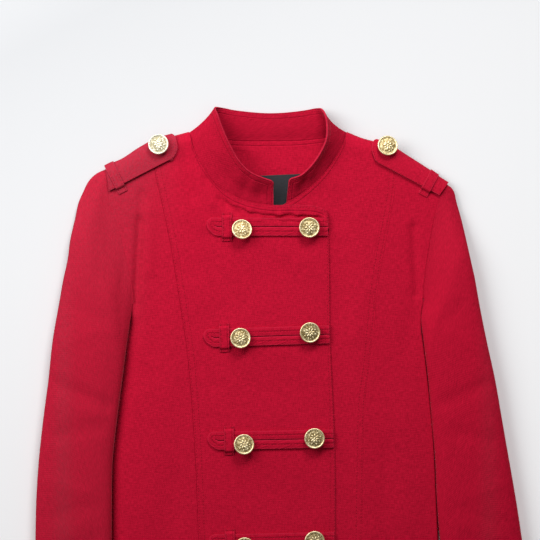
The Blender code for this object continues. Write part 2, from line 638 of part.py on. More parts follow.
# ---------------------------------------------------------------- fastenings
def frog(number, spec):
    """A tape folded in two at a rounded point, its halves side by side with a slit between them."""
    tip, end = np.array(spec[:2]), np.array(spec[2:4])
    forward = (end - tip) / np.linalg.norm(end - tip)
    side = np.array([-forward[1], forward[0]])
    half = (TAPE_WIDTH + TAPE_SLIT) / 2
    length = np.linalg.norm(end - tip)
    straight = np.linspace(length, TIP_LENGTH, TAPE_STEPS)
    turn = np.linspace(0, math.pi, TAPE_STEPS)[1:-1]
    middle_line = [(s, half) for s in straight]
    tip_reach = TIP_LENGTH - TAPE_WIDTH / 2
    middle_line += [(TIP_LENGTH - tip_reach * math.sin(t), half * math.cos(t)) for t in turn]
    middle_line += [(s, -half) for s in straight[::-1]]
    middle_line = np.array(middle_line)
    outward = []
    for s, t in middle_line:
        fold = max(0.0, (TIP_LENGTH - s) / tip_reach)
        bend = math.asin(min(1.0, fold))
        outward.append((-math.sin(bend), math.copysign(math.cos(bend), t) if abs(t) > NOTHING else 0.0))
    outward = np.array(outward)
    offsets = np.array([TAPE_WIDTH / 2, 0, -TAPE_WIDTH / 2])[:, None, None]
    plan = middle_line + outward * offsets
    spots = tip + plan[..., :1] * forward + plan[..., 1:] * side
    points = moved_out(spots[..., 0], spots[..., 1], LAY_GAP)
    sheet(f"frog_{number}", points, TAPE_WALL, 1, RED_TWILL)
    return tip, forward, side


def frog_keeper(number, spec, tip, forward, side):
    """The loop over a tape: down on the panel at both ends, raised over the tape between them."""
    over = LAY_GAP + TAPE_WALL + REST_GAP
    half = TAPE_WIDTH + TAPE_SLIT / 2
    foot, bend = half + KEEPER_RISE_END, half + KEEPER_RISE_START
    steps = ((-KEEPER_LENGTH / 2, LAY_GAP), (-foot, LAY_GAP), (-bend, over), (0, over),
             (bend, over), (foot, LAY_GAP), (KEEPER_LENGTH / 2, LAY_GAP))
    at = (spec.keeper_x - tip[0]) / forward[0]
    points = []
    for offset in (-KEEPER_WIDTH / 2, 0, KEEPER_WIDTH / 2):
        row = []
        for across, lift in steps:
            x, y = tip + forward * (at + offset) + side * across
            row.append(moved_out(x, y, lift))
        points.append(row)
    points = np.array(points)
    sheet(f"frog_keeper_{number}", points, KEEPER_WALL, 1, RED_TWILL, flip=True)


# ---------------------------------------------------------------- epaulettes
def on_strap(spec, s, inward, lift):
    """Points placed by s, and by how far in from the shoulder line they lie, moved out by lift."""
    start, end = np.array(spec.sleeve_end), np.array(spec.inner_end)
    ahead = (end - start) / np.linalg.norm(end - start)
    outward = np.array([-ahead[1], ahead[0]]) * np.sign(ahead[0])
    line = smooth(spec.shoulder) - start
    order = np.argsort(line @ ahead)
    width = np.interp(s, (line @ ahead)[order], (line @ outward)[order])
    t = width - inward
    plan = start + s[..., None] * ahead + t[..., None] * outward
    return moved_out(plan[..., 0], plan[..., 1], lift), t, width


STRAP_STEPS = np.array([0.4, 0.9, 2.4, 5.5, 10, 15])  # in from the shoulder line
STRAP_SECTIONS = 11


def epaulette(spec):
    length = math.dist(spec.sleeve_end, spec.inner_end)
    s = np.linspace(0, length, STRAP_SECTIONS)[:, None] + np.zeros(len(STRAP_STEPS) + 1)
    for _ in range(3):  # the width changes with s, and the ends change with the width
        width = on_strap(spec, s, 0 * s, 0)[2]
        steps = np.broadcast_to(STRAP_STEPS, (len(s), len(STRAP_STEPS)))
        inward = np.concatenate([steps, width[:, -1:]], axis=1)
        t = np.clip(width - inward, 0, None)
        low = np.clip(1 - t / spec.corner, 0, 1)
        start = 1 + spec.outer_slant * t / width
        end = length + spec.inner_slant * t / width - spec.corner * (1 - np.sqrt(1 - low**2))
        s = start + (end - start) * np.linspace(0, 1, STRAP_SECTIONS)[:, None]
    points = on_strap(spec, s, inward, STRAP_GAP)[0]
    sheet(f"epaulette_{spec.side}", points, STRAP_WALL, 1, RED_TWILL, flip=spec.side == "left")


def epaulette_keeper(spec):
    over = STRAP_GAP + STRAP_WALL + KEEPER_GAP
    s = spec.keeper_at + np.array([-KEEPER_WIDTH / 2, 0, KEEPER_WIDTH / 2])[:, None]
    width = on_strap(spec, s, 0 * s, 0)[2]
    below = np.array([KEEPER_OVER, KEEPER_DOWN, KEEPER_REACH])
    inward = np.concatenate([np.broadcast_to(STRAP_STEPS, (3, len(STRAP_STEPS))), width + below], axis=1)
    lift = np.where(inward > width + KEEPER_OVER, LAY_GAP, over)
    s = np.broadcast_to(s, inward.shape)
    points = on_strap(spec, s, inward, lift)[0]
    sheet(f"epaulette_keeper_{spec.side}", points, KEEPER_WALL, 1, RED_TWILL, flip=spec.side == "left")


# ---------------------------------------------------------------- buttons
def button_mesh():
    """A shank button, turned about its axis with its foot at the origin."""
    bm = bmesh.new()
    verts = [bm.verts.new((ring.radius * MM, 0, ring.z * MM)) for ring in BUTTON_PROFILE]
    edges = [bm.edges.new(pair) for pair in zip(verts, verts[1:])]
    bmesh.ops.spin(bm, geom=verts + edges, cent=(0, 0, 0), axis=(0, 0, 1), angle=2 * math.pi,
                   steps=BUTTON_SIDES, use_merge=True)
    bmesh.ops.remove_doubles(bm, verts=bm.verts, dist=1e-6)
    bmesh.ops.recalc_face_normals(bm, faces=bm.faces)
    return bm


def buttons():
    mesh = None
    for spec in BUTTONS:
        if mesh is None:
            made = add_object(spec.name, button_mesh(), ANTIQUE_BRASS, sharp=40)
            mesh = made.data
        else:
            made = bpy.data.objects.new(spec.name, mesh)
            bpy.context.scene.collection.objects.link(made)
        sunk = SHANK_RADIUS * math.sin(math.radians(spec.lean))
        foot = moved_out(spec.x, spec.y, spec.lift + sunk)
        toward = math.radians(spec.toward)
        lean_axis = Vector((-math.sin(toward), math.cos(toward), 0))
        turn = Matrix.Rotation(math.radians(spec.lean), 4, lean_axis)
        made.matrix_world = Matrix.Translation(Vector(foot) * MM) @ turn


# ---------------------------------------------------------------- the whole jacket
def centre_on_table():
    """Puts every piece under one empty, so that the origin is at the middle of the underside."""
    pieces = list(bpy.context.scene.collection.objects)
    bpy.context.view_layer.update()
    graph = bpy.context.evaluated_depsgraph_get()
    corners = []
    for piece in pieces:
        shown = piece.evaluated_get(graph)
        corners += [shown.matrix_world @ vert.co for vert in shown.data.vertices]
    corners = np.array(corners)
    low, high = corners.min(axis=0), corners.max(axis=0)
    jacket = bpy.data.objects.new("jacket", None)
    bpy.context.scene.collection.objects.link(jacket)
    for piece in pieces:
        piece.parent = jacket
    jacket.location = (-(low[0] + high[0]) / 2, -(low[1] + high[1]) / 2, -low[2])


def main():
    for old in list(bpy.data.objects):
        bpy.data.objects.remove(old)
    back_panel()
    side_fronts()
    centre_fronts()
    for spec in SLEEVES:
        sleeve(spec)
    collar()
    neck_label()
    for number, spec in enumerate(FROGS, start=1):
        frame = frog(number, spec)
        frog_keeper(number, spec, *frame)
    for spec in STRAPS:
        epaulette(spec)
        epaulette_keeper(spec)
    buttons()
    centre_on_table()


main()
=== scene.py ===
# %% [markdown]
# # A cropped military jacket, laid flat
# The jacket lies on its back on a pale table, and the camera looks straight down at it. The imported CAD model
# is the fixed frame: it gives each sewn piece its place. Here each piece is made again as a thin shell on the
# same form, with finer rows, creases, stitches and a woven finish. Lengths are in millimetres, X runs from the
# wearer's right to the left, Y from the hem up to the collar, and Z up from the table.

# %% Load the frame
import math
from collections import namedtuple

import bmesh
import bpy
import numpy as np
from mathutils import Matrix, Vector


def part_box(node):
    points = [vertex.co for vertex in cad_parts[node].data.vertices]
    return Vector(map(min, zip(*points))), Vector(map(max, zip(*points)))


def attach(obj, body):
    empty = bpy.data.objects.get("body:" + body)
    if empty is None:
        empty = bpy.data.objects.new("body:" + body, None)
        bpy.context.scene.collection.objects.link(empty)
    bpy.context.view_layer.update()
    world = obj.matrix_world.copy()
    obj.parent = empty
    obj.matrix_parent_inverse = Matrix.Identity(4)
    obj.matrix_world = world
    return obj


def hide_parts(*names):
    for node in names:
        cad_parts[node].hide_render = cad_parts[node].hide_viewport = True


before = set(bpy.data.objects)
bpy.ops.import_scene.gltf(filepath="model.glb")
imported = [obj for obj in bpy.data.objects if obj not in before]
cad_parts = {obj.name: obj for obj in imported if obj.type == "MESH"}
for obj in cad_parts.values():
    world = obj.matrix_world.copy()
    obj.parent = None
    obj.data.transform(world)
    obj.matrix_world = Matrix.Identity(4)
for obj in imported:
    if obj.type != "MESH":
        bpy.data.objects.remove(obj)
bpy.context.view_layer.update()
print("nodes in the frame:", len(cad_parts))

# %% [markdown]
# The tables below have the hem at Y 0. The frame has its origin in the middle of the underside, so one
# shift takes the tables there. The neck label is a plain rectangle, and the middle of its box gives the shift.

# %% Millimetres of the tables to metres of the frame
MM = 0.001
LABEL_CENTRE = (2, 482)
low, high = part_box("neck_label")
SHIFT = np.array([(low[k] + high[k]) / 2 - LABEL_CENTRE[k] * MM for k in (0, 1)] + [0.0])
print("shift in mm:", np.round(SHIFT / MM, 2))


def placed(points):
    """Points of the tables, in the frame."""
    return np.asarray(points, float) * MM + SHIFT


# %% [markdown]
# ## Colours and finishes
# Colours are picked as sRGB hex values, the way a paint chart gives them, and Blender's sockets want linear
# numbers. A finish is a material in the making: most of its methods add one node and give back what comes out
# of it, so a texture reads like a sum.

# %% Helpers for materials
def linear(code, share=1.0):
    """A hex colour as linear RGBA. A share below 1 takes light out of it."""
    parts = [int(code[k : k + 2], 16) / 255 for k in (1, 3, 5)]
    return (*[share * (c / 12.92 if c <= 0.04045 else ((c + 0.055) / 1.055) ** 2.4) for c in parts], 1.0)


class Finish:
    """A named material with its one shader."""

    def __init__(self, name, roughness, metallic=0.0):
        self.material = bpy.data.materials.new(name)
        self.material.use_nodes = True
        self.tree = self.material.node_tree
        self.shader = self.tree.nodes["Principled BSDF"]
        self.feed("Roughness", roughness)
        self.feed("Metallic", metallic)

    def feed(self, socket, value, node=None):
        """Sets a socket of the shader or of a node, or links what comes out of another node to it."""
        entry = (self.shader if node is None else node).inputs[socket]
        if isinstance(value, bpy.types.NodeSocket):
            self.tree.links.new(value, entry)
        else:
            entry.default_value = value

    def add(self, kind, inputs=(), **settings):
        """Adds a node and gives back its outputs. Inputs are pairs of a socket and its value."""
        node = self.tree.nodes.new("ShaderNode" + kind)
        for name, value in settings.items():
            setattr(node, name, value)
        for socket, value in inputs:
            self.feed(socket, value, node)
        return node.outputs

    def attribute(self, name):
        return self.add("Attribute", attribute_name=name)["Fac"]

    def math(self, operation, *values, clamp=False):
        return self.add("Math", enumerate(values), operation=operation, use_clamp=clamp)[0]

    def noise(self, place, scale, detail, roughness=0.5):
        return self.add("TexNoise", [("Vector", place), ("Scale", scale), ("Detail", detail),
                                     ("Roughness", roughness)])["Fac"]

    def drawn_out(self, place, scales):
        """Noise that is finer one way than the other."""
        return self.noise(self.add("Mapping", [("Vector", place), ("Scale", scales)])[0], 1.0, 2.0)

    def ranged(self, value, start, end, low=0.0, high=1.0, kind="LINEAR"):
        """A value taken from one range to another."""
        return self.add("MapRange", [("Value", value), ("From Min", start), ("From Max", end), ("To Min", low),
                                     ("To Max", high)], interpolation_type=kind)[0]

    def near(self, value, start, end):
        """1 up to start, 0 past end, and a soft change between them."""
        return self.ranged(value, start, end, 1.0, 0.0, "SMOOTHSTEP")

    def mix(self, share, first, second):
        return self.add("Mix", [("Factor", share), ("A", first), ("B", second)], data_type="RGBA")["Result"]

    def bump(self, height, distance):
        self.feed("Normal", self.add("Bump", [("Height", height), ("Distance", distance)])[0])


# %% [markdown]
# ## Red cotton twill
# The jacket is piece-dyed cotton twill of middle weight. Real wales lie about 0.8 mm apart, less than one
# pixel of this picture, so they are drawn 1.7 mm apart and the slubs of the yarn 0.9 mm wide, which gives the
# eye the fine grain that such cloth shows. Each piece carries a UV map in metres along its cloth, and three
# numbers for every point: how far it is from the piece's edge, how far from its topstitched sides, and how
# much fading and painted sheen it has. The finish reads them for the groove that a row of stitches pulls in,
# with painted shade in it, the ripples beside it, the worn edge with a painted highlight on it, and the
# greyer colour of fading and painted sheen with the rough pile of faded cloth.

# %% The twill's finish
WALE = 1.7 * MM
STITCH_ROWS = (1.6, 7.0)  # distances of the two rows of topstitches from a sewn side, in mm
WARP, WEFT = (980, 170, 1), (170, 1020, 1)  # how fine the slubs are, along and across the cloth
TWILL_DEEP, TWILL_BRIGHT = "#980723", "#b80e2f"  # from yarn to yarn
# The first is for blotches of dye and for painted shade in the stitch grooves, the second for edge wear with a
# painted highlight, the third for fading with painted sheen.
TWILL_DYE_AND_GROOVE_SHADE, TWILL_WORN_AND_HIGHLIT, TWILL_FADED_AND_SHEEN = "#750419", "#c3314c", "#7e3541"


def red_twill(name, share=1.0):
    twill = Finish(name, 0.82)
    grain = twill.add("TexCoord")["UV"]
    edge, sewn, faded = [twill.attribute(kind) for kind in ("edge", "sewn", "faded")]
    wales = twill.add("TexWave", [("Vector", grain), ("Scale", 2 * math.pi / (10 * math.sqrt(2) * WALE)),
                                  ("Distortion", 1.6), ("Detail", 1.0), ("Detail Scale", 2.0)],
                      bands_direction="DIAGONAL")["Fac"]
    yarn = twill.math("ADD", twill.drawn_out(grain, WARP), twill.drawn_out(grain, WEFT))
    hand = twill.noise(grain, 21.0, 3.0, 0.55)
    ripple = twill.noise(grain, 150.0, 1.5)
    mottle = twill.noise(grain, 95.0, 4.0, 0.7)
    fuzz = twill.noise(grain, 420.0, 2.0)
    from_rows = [twill.math("ABSOLUTE", twill.math("SUBTRACT", sewn, row)) for row in STITCH_ROWS]
    rows = twill.math("ADD", *[twill.near(off, 0.0, 1.3) for off in from_rows])
    pucker = twill.math("MULTIPLY", ripple, twill.near(sewn, 2.0, 15.0))
    pile = twill.math("MULTIPLY", fuzz, faded)

    # Heights in mm, added up for one bump.
    height = twill.math("MULTIPLY", wales, 0.10)
    for source, depth in ((pile, 1.1), (yarn, 0.30), (rows, -0.42), (pucker, 0.9), (hand, 1.6)):
        height = twill.math("MULTIPLY_ADD", source, depth, height)
    twill.bump(height, MM)

    # Colour: yarn to yarn, blotches of dye, painted shade in a row's groove, edge wear with a painted highlight
    # at the edge, fading with painted sheen in specks.
    colour = twill.mix(twill.ranged(yarn, 0.72, 1.28), linear(TWILL_DEEP, share), linear(TWILL_BRIGHT, share))
    specks = twill.ranged(fuzz, 0.3, 0.7, 0.55, 1.45)
    for amount, tone in (
        (twill.ranged(mottle, 0.35, 0.75, 0.0, 0.08), TWILL_DYE_AND_GROOVE_SHADE),
        # painted shade in the groove of each row of stitches
        (twill.math("MULTIPLY", rows, 0.16, clamp=True), TWILL_DYE_AND_GROOVE_SHADE),
        # edge wear and a painted highlight: paler near the free edges
        (twill.math("MULTIPLY", twill.near(edge, 0.2, 1.5), 0.22), TWILL_WORN_AND_HIGHLIT),
        # fading and a painted sheen: greyer pink in specks
        (twill.math("MULTIPLY", faded, specks, clamp=True), TWILL_FADED_AND_SHEEN),
    ):
        colour = twill.mix(amount, colour, linear(tone))
    twill.feed("Base Color", colour)
    twill.feed("Specular IOR Level", 0.06)
    twill.feed("Sheen Weight", 0.16)
    twill.feed("Sheen Roughness", 0.3)
    twill.feed("Sheen Tint", linear("#f0a0b4"))
    return twill.material


RED_TWILL = red_twill("woven_red_cotton_twill")
COLLAR_TWILL_PAINTED_SHADE = red_twill("red_twill_with_painted_collar_shade", 0.88)  # a darker copy of the twill: painted shade on the standing collar
print("twill:", len(RED_TWILL.node_tree.nodes), "nodes, wales per 10 mm:", round(10 * MM / WALE, 1))

# %% [markdown]
# ## Sewing thread
# The topstitching is spun polyester thread in the cloth's own red. It is smoother than cotton, so each
# stitch catches a little more light than the cloth beside it.

# %% The thread's finish
def sewing_thread():
    thread = Finish("spun_polyester_thread", 0.65)
    thread.feed("Base Color", linear("#9c0926"))
    thread.feed("Specular IOR Level", 0.15)
    place = thread.add("TexCoord")["Object"]
    twist = thread.add("TexWave", [("Vector", place), ("Scale", 500.0)], bands_direction="DIAGONAL")["Fac"]
    thread.bump(twist, 0.05 * MM)
    return thread.material


THREAD = sewing_thread()

# %% [markdown]
# ## Lines of the cut
# These curves are the seams and edges seen from above, the same as in the CAD source. A smooth line
# runs through each table of points. One sewing pattern gives both neighbours of a seam the same line, so
# they meet with no gap showing.

# %% Tables of the outlines
SHOULDER_RIGHT = ((-199, 509), (-194, 512), (-178, 519), (-158, 532), (-137, 543), (-116, 549), (-101, 553))
SHOULDER_LEFT = ((80, 553), (97, 546), (125, 538), (146, 525), (160, 516), (174, 507), (187, 498), (198, 491))
ARMHOLE_RIGHT = ((-199, 509), (-197, 501), (-195, 488), (-194, 474), (-187, 451), (-179, 428), (-174, 405),
                 (-169, 382), (-166, 359))
SIDE_RIGHT = ((-166, 359), (-168, 340), (-172, 313), (-178, 267), (-184, 221), (-189, 175), (-190, 110),
              (-190, 50), (-190, 0))
ARMHOLE_LEFT = ((198, 491), (193, 486), (189, 478), (185, 468), (182, 457), (178, 436), (174, 411),
                (170, 382), (168, 359))
SIDE_LEFT = ((168, 359), (166, 336), (171, 290), (176, 244), (180, 200), (183, 140), (186, 60), (187, 0))
PRINCESS_RIGHT = ((-86, 0), (-90, 83), (-93, 163), (-98, 244), (-104, 307), (-112, 359), (-121, 416),
                  (-133, 474), (-140, 506), (-143, 540.3))
PRINCESS_LEFT = ((97, 0), (98, 106), (99, 175), (101, 244), (106, 283), (110, 325), (114, 367),
                 (121, 413), (130, 459), (135, 497), (135, 532.3))
NECK_RIGHT = ((-101, 553), (-98, 541), (-89, 520), (-74, 499), (-60, 485), (-43, 476), (-22, 470), (-5, 468))
NECK_LEFT = ((80, 553), (78, 545), (70, 528), (55, 506), (40, 491), (26, 480), (8, 469))
FRONT_EDGE = ((67, 0), (66, 198), (61, 317), (60, 393), (59, 452))
EXTENSION_TOP = ((-5, 468), (26, 468), (49, 465.5), (56.5, 461.5), (59, 452))  # right front, past the collar
UNDERLAP_EDGE = ((-42, 0), (-44, 198), (-47, 317), (-48, 393), (-48, 450))
UNDERLAP_TOP = ((-48, 450), (-42, 458), (-6, 463), (8, 469))  # left front, hidden below the right one
BACK_NECK = ((-97, 551.5), (-75, 547.4), (-52, 545), (-10, 544), (31, 545), (54, 547.4), (76, 551.5))
UNDERARM_Y = 359
CUFF_Y = -92


# %% Smooth lines and the places on them
def smooth(points, step=3.0):
    """A soft curve through the points, as a fine polyline."""
    points = np.array(points, float)
    spans = np.linalg.norm(np.diff(points, axis=0), axis=1)
    marks = np.concatenate([[0], np.cumsum(spans)])
    slopes = np.gradient(points, marks, axis=0)
    at = np.linspace(0, marks[-1], max(3, int(marks[-1] / step)))
    i = np.clip(np.searchsorted(marks, at, side="right") - 1, 0, len(spans) - 1)
    h = spans[i][:, None]
    t = (at[:, None] - marks[i][:, None]) / h
    return (
        (1 + 2 * t) * (1 - t) ** 2 * points[i]
        + t * (1 - t) ** 2 * h * slopes[i]
        + t**2 * (3 - 2 * t) * points[i + 1]
        - t**2 * (1 - t) * h * slopes[i + 1]
    )


def marks_of(line):
    steps = np.linalg.norm(np.diff(line, axis=0), axis=1)
    return np.concatenate([[0], np.cumsum(steps)])


def along(line, fractions):
    """The points at these fractions of the line's length."""
    marks = marks_of(line)
    at = np.asarray(fractions) * marks[-1]
    return np.stack([np.interp(at, marks, line[:, k]) for k in range(line.shape[1])], axis=-1)


def x_on(line, y):
    """The x of a line that runs up or down the jacket."""
    order = np.argsort(line[:, 1])
    return np.interp(y, line[order, 1], line[order, 0])


def distance(x, y, line):
    """How far each point is from the line, seen from above."""
    start, end = line[:-1], line[1:]
    step = end - start
    from_start = np.stack([x, y], axis=-1)[..., None, :] - start
    share = np.clip((from_start * step).sum(-1) / (step**2).sum(-1), 0, 1)
    return np.linalg.norm(from_start - share[..., None] * step, axis=-1).min(-1)


def ease(start, end, value):
    """0 before start, 1 past end, and a soft change between them."""
    t = np.clip((value - start) / (end - start), 0, 1)
    return t * t * (3 - 2 * t)


def joined(*lines):
    """Lines that follow each other, made one."""
    return np.vstack([lines[0]] + [line[1:] for line in lines[1:]])


def part_of(line, start_x, end_x):
    """The stretch of a line between two x values."""
    ends = np.array([[x, np.interp(x, line[:, 0], line[:, 1])] for x in (start_x, end_x)])
    inside = line[(line[:, 0] > start_x + 0.5) & (line[:, 0] < end_x - 0.5)]
    return np.vstack([ends[:1], inside, ends[1:]])


print("front edge, mm:", round(marks_of(smooth(FRONT_EDGE))[-1]))

# %% [markdown]
# ## The lie of the cloth
# A laid jacket keeps a little loft: the front stands some 15 mm above the table on the turned edges and the
# air between its layers, and rolls down at the shoulders and sides. The height of the front is a table from
# the hem up, lowered towards the sides, plus creases. Each crease is a line with a width and a depth, listed
# one by one: troughs are negative and ridges positive. Cloth simulation would crumple such a laid piece at
# random, so placed creases give the ones that are seen.

# %% Heights and creases of the body
Height = namedtuple("Height", "y z")
Fold = namedtuple("Fold", "x0 y0 x1 y1 width depth")
Roll = namedtuple("Roll", "line reach power")
BODY_HEIGHTS = (Height(0, 12.0), Height(80, 13.5), Height(200, 14.5), Height(320, 15.0), Height(430, 15.0),
                Height(500, 14.5), Height(560, 14.0))
CROWN = 0.14  # share of the height that the body loses from its middle to its sides
BODY_HALF_WIDTH = 190
SHOULDER_ROLL = 15  # how far in from the shoulder line the cloth has rolled up to its full height
SHOULDER_POWER = 2.2  # 2 is a round edge, more is a fuller one
ROLL_FADE = 32  # the side rolls start at the underarm and are full this far below it
CLOTH = 1.1  # thickness of the twill with its turned edges
FRONT_FOOT = 1.75  # the rolled edges of the front stand on the back
LAP_STEP = 1.5  # the left front lies this much lower where the right front covers it
LAP_REACH = 6  # it stays low this far past the right front's edge
LAP_EASE = 28  # and comes up again over this distance
NECK_Y = 470  # above the front's neck edge it comes up again too
NECK_EASE = 26
BODY_FOLDS = (
    Fold(-156, 480, -163, 352, 4.8, -1.5),
    Fold(-158, 450, -163, 352, 4.8, -2.4),  # from the right armhole down to the underarm
    Fold(-148, 462, -146, 392, 7, 1.5),
    Fold(157, 442, 161, 366, 5.5, -2.4),  # the same at the left
    Fold(-84, 428, -58, 345, 12, -1.4),  # from the first keeper towards the second button
    Fold(-96, 330, -70, 262, 12, -0.9),
    Fold(80, 420, 72, 345, 16, -0.9),
    Fold(-20, 385, 20, 372, 26, -1.2),  # hollows between the fastenings
    Fold(-18, 262, 22, 252, 26, -1.2),
    Fold(-16, 140, 24, 132, 26, -1.2),
    Fold(-135, 250, -150, 120, 22, 1.0),
    Fold(140, 240, 148, 110, 22, 1.0),
    Fold(130, 180, 118, 40, 16, -1.2),
    Fold(-120, 150, -132, 20, 16, -1.2),
)
FINE_FOLDS = (
    Fold(-66, 474, -46, 460, 3.6, -1.6),  # puckers below the front of the collar
    Fold(-74, 468, -50, 452, 4.5, 1.0),
    Fold(-80, 498, -58, 470, 5, -1.8),
    Fold(-96, 506, -76, 472, 7, 1.2),
    Fold(-106, 520, -94, 480, 7, -1.3),
    Fold(-114, 500, -104, 456, 9, 0.7),
    Fold(50, 490, 74, 452, 9, -0.9),
    Fold(-8, 458, 0, 451, 2.2, -0.8),  # puckers of the double row on the extension
    Fold(4, 459, 8, 450, 2.0, 0.7),
    Fold(11, 457, 16, 449, 2.2, -0.7),
    Fold(22, 458, 25, 450, 2.0, 0.6),
    Fold(31, 456, 33, 448, 2.4, -0.7),
    Fold(41, 455, 43, 448, 2.0, 0.5),
    Fold(-16, 451, 44, 448, 1.8, -0.9),
    Fold(-74, 402, -40, 352, 7, -0.7),  # soft diagonals from the keepers to the next button
    Fold(-92, 372, -66, 330, 9, 0.8),
    Fold(-88, 282, -50, 232, 8, -0.6),
    Fold(-60, 176, -34, 128, 8, -0.5),
    Fold(-52, 296, -12, 268, 9, 0.5),
    Fold(-6, 424, 36, 404, 9, 0.5),
    Fold(0, 300, 42, 288, 8, 0.4),
    Fold(-152, 352, -140, 300, 9, -1.0),  # the drag line down from the right underarm
    Fold(-168, 330, -158, 262, 7, -0.9),
    Fold(158, 352, 148, 296, 10, -0.8),
    Fold(104, 372, 88, 318, 12, 0.6),
    Fold(120, 300, 138, 240, 14, -0.7),
    Fold(-128, 338, -116, 270, 12, 0.5),
    Fold(-110, 92, -104, 30, 11, 0.6),
    Fold(104, 88, 112, 20, 12, 0.6),
    Fold(-10, 44, 14, 6, 16, 0.8),
)
SHOULDERS = [smooth(SHOULDER_RIGHT), smooth(SHOULDER_LEFT)]
ROLLS = [Roll(smooth(SIDE_RIGHT), 20, 1.7), Roll(smooth(SIDE_LEFT), 1.5, 3.0)]


def folds_at(x, y, folds):
    """The soft troughs and ridges of a table, added up."""
    total = np.zeros(np.shape(x))
    for fold in folds:
        line = np.array([(fold.x0, fold.y0), (fold.x1, fold.y1)], float)
        total += fold.depth * np.exp(-((distance(x, y, line) / fold.width) ** 2))
    return total


def rise(inward, reach, power):
    """The share of its height that a rolled edge has at a distance in from it."""
    short = 1 - np.clip(inward / reach, 0, 1)
    return (1 - short**power) ** (1 / power)


def top(x, y):
    """Height of the body's outer surface above the table."""
    x, y = np.broadcast_arrays(np.asarray(x, float), np.asarray(y, float))
    rows = np.array(BODY_HEIGHTS)
    full = np.interp(y, rows[:, 0], rows[:, 1]) * (1 - CROWN * (x / BODY_HALF_WIDTH) ** 2)
    full = full + folds_at(x, y, BODY_FOLDS + FINE_FOLDS)
    share = np.ones(x.shape)
    for line in SHOULDERS:
        share = share * rise(distance(x, y, line), SHOULDER_ROLL, SHOULDER_POWER)
    for line, reach, power in ROLLS:
        fade = ease(0, ROLL_FADE, line[0, 1] - y)
        edge = rise(np.abs(x - x_on(line, y)), reach, power)
        share = share * (1 - fade * (1 - edge))
    return FRONT_FOOT + (full - FRONT_FOOT) * share


def lapped(x, y):
    """The same for the left front, which is lower where the right front covers it."""
    past_edge = x - x_on(smooth(FRONT_EDGE), y)
    beside = 1 - ease(LAP_REACH, LAP_REACH + LAP_EASE, past_edge)
    above = 1 - ease(0, NECK_EASE, y - NECK_Y)
    return top(x, y) - LAP_STEP * beside * above


def moved_out(x, y, lift, height=top):
    """Points of a surface moved out from it by lift, square to it."""
    step = 0.25
    slope_x = (height(x + step, y) - height(x - step, y)) / (2 * step)
    slope_y = (height(x, y + step) - height(x, y - step)) / (2 * step)
    length = np.sqrt(1 + slope_x**2 + slope_y**2)
    z = height(x, y)
    return np.stack([x - lift * slope_x / length, y - lift * slope_y / length, z + lift / length], axis=-1)


print("height of the chest, mm:", round(float(top(0.0, 400.0)), 1))

# %% [markdown]
# ## One way to make every cloth piece
# A piece of cloth is a sheet, so each one starts as bmesh's grid, whose corners are then laid on the form row
# by row, and a Solidify modifier gives it its thickness. Before the sheet gets its thickness it also gets its
# UV map, which is the length along the cloth, and the distances that the finish reads.

# %% Distances on a piece, and the piece itself
FAR = 99.0


def from_sides(points):
    """How far along the cloth each point of a grid is from its four sides, in mm."""
    across = np.linalg.norm(np.diff(points, axis=1), axis=-1)
    across = np.concatenate([np.zeros((len(points), 1)), np.cumsum(across, axis=1)], axis=1)
    up = np.linalg.norm(np.diff(points, axis=0), axis=-1)
    up = np.concatenate([np.zeros((1, points.shape[1])), np.cumsum(up, axis=0)], axis=0)
    return {"left": across, "right": across[:, -1:] - across, "bottom": up, "top": up[-1:] - up}


def nearest(sides, names, shape):
    """The distance to the nearest of the named sides."""
    return np.min([np.full(shape, FAR)] + [sides[name] for name in names], axis=0)


def tucked(inward, reach, depth):
    """How far the cloth dips where it turns in at a seam or edge."""
    short = 1 - np.clip(inward / reach, 0, 1)
    return depth * (1 - np.sqrt(1 - short**2))


def cloth(name, points, wall, offset=-1, tube=False, flip=False, grain=None, soft_edge=0.0,
          first_row=STITCH_ROWS[0], sewn=(), sewn_where=True, worn=(), worn_where=True, faded=0.0,
          finish=RED_TWILL, slot="red_twill"):
    """A piece of cloth from a grid of points (rows, columns, xyz), in place of the CAD node of that name."""
    shape = points.shape[:2]
    sides = from_sides(points)
    edge = np.where(worn_where, nearest(sides, worn, shape), FAR)
    near_sewn = np.where(sewn_where, nearest(sides, sewn, shape), FAR) - first_row + STITCH_ROWS[0]
    if grain is None:
        grain = np.dstack([sides["left"], sides["bottom"]])
    grain = grain.reshape(-1, 2) * MM
    numbers = {"faded": faded, "edge": edge, "sewn": near_sewn}

    bm = bmesh.new()
    bmesh.ops.create_grid(bm, x_segments=shape[1] - 1, y_segments=shape[0] - 1, size=0.5)
    layers = [bm.verts.layers.float.new(kind) for kind in numbers]
    map_layer = bm.loops.layers.uv.new("along_the_cloth")
    lists = [np.broadcast_to(values, shape).ravel() for values in numbers.values()]
    for vert, place, *values in zip(bm.verts, placed(points).reshape(-1, 3), *lists):
        vert.co = place
        for layer, value in zip(layers, values):
            vert[layer] = value
    bm.verts.index_update()
    for face in bm.faces:
        for loop in face.loops:
            loop[map_layer].uv = grain[loop.vert.index]
    if tube:
        bmesh.ops.remove_doubles(bm, verts=bm.verts, dist=1e-7)
    if flip:
        bmesh.ops.reverse_faces(bm, faces=bm.faces)
    made = finished(f"{name}_cloth", bm, [finish], name)
    modify(made, "thickness", "SOLIDIFY", thickness=wall * MM, offset=offset)
    if soft_edge:
        modify(made, "soft_edge", "BEVEL", width=soft_edge * MM, segments=2, limit_method="ANGLE",
               angle_limit=math.radians(50))
    else:
        modify(made, "crisp_rim", "EDGE_SPLIT", split_angle=math.radians(60))
    return made


def modify(made, name, kind, **settings):
    modifier = made.modifiers.new(name, kind)
    for setting, value in settings.items():
        setattr(modifier, setting, value)


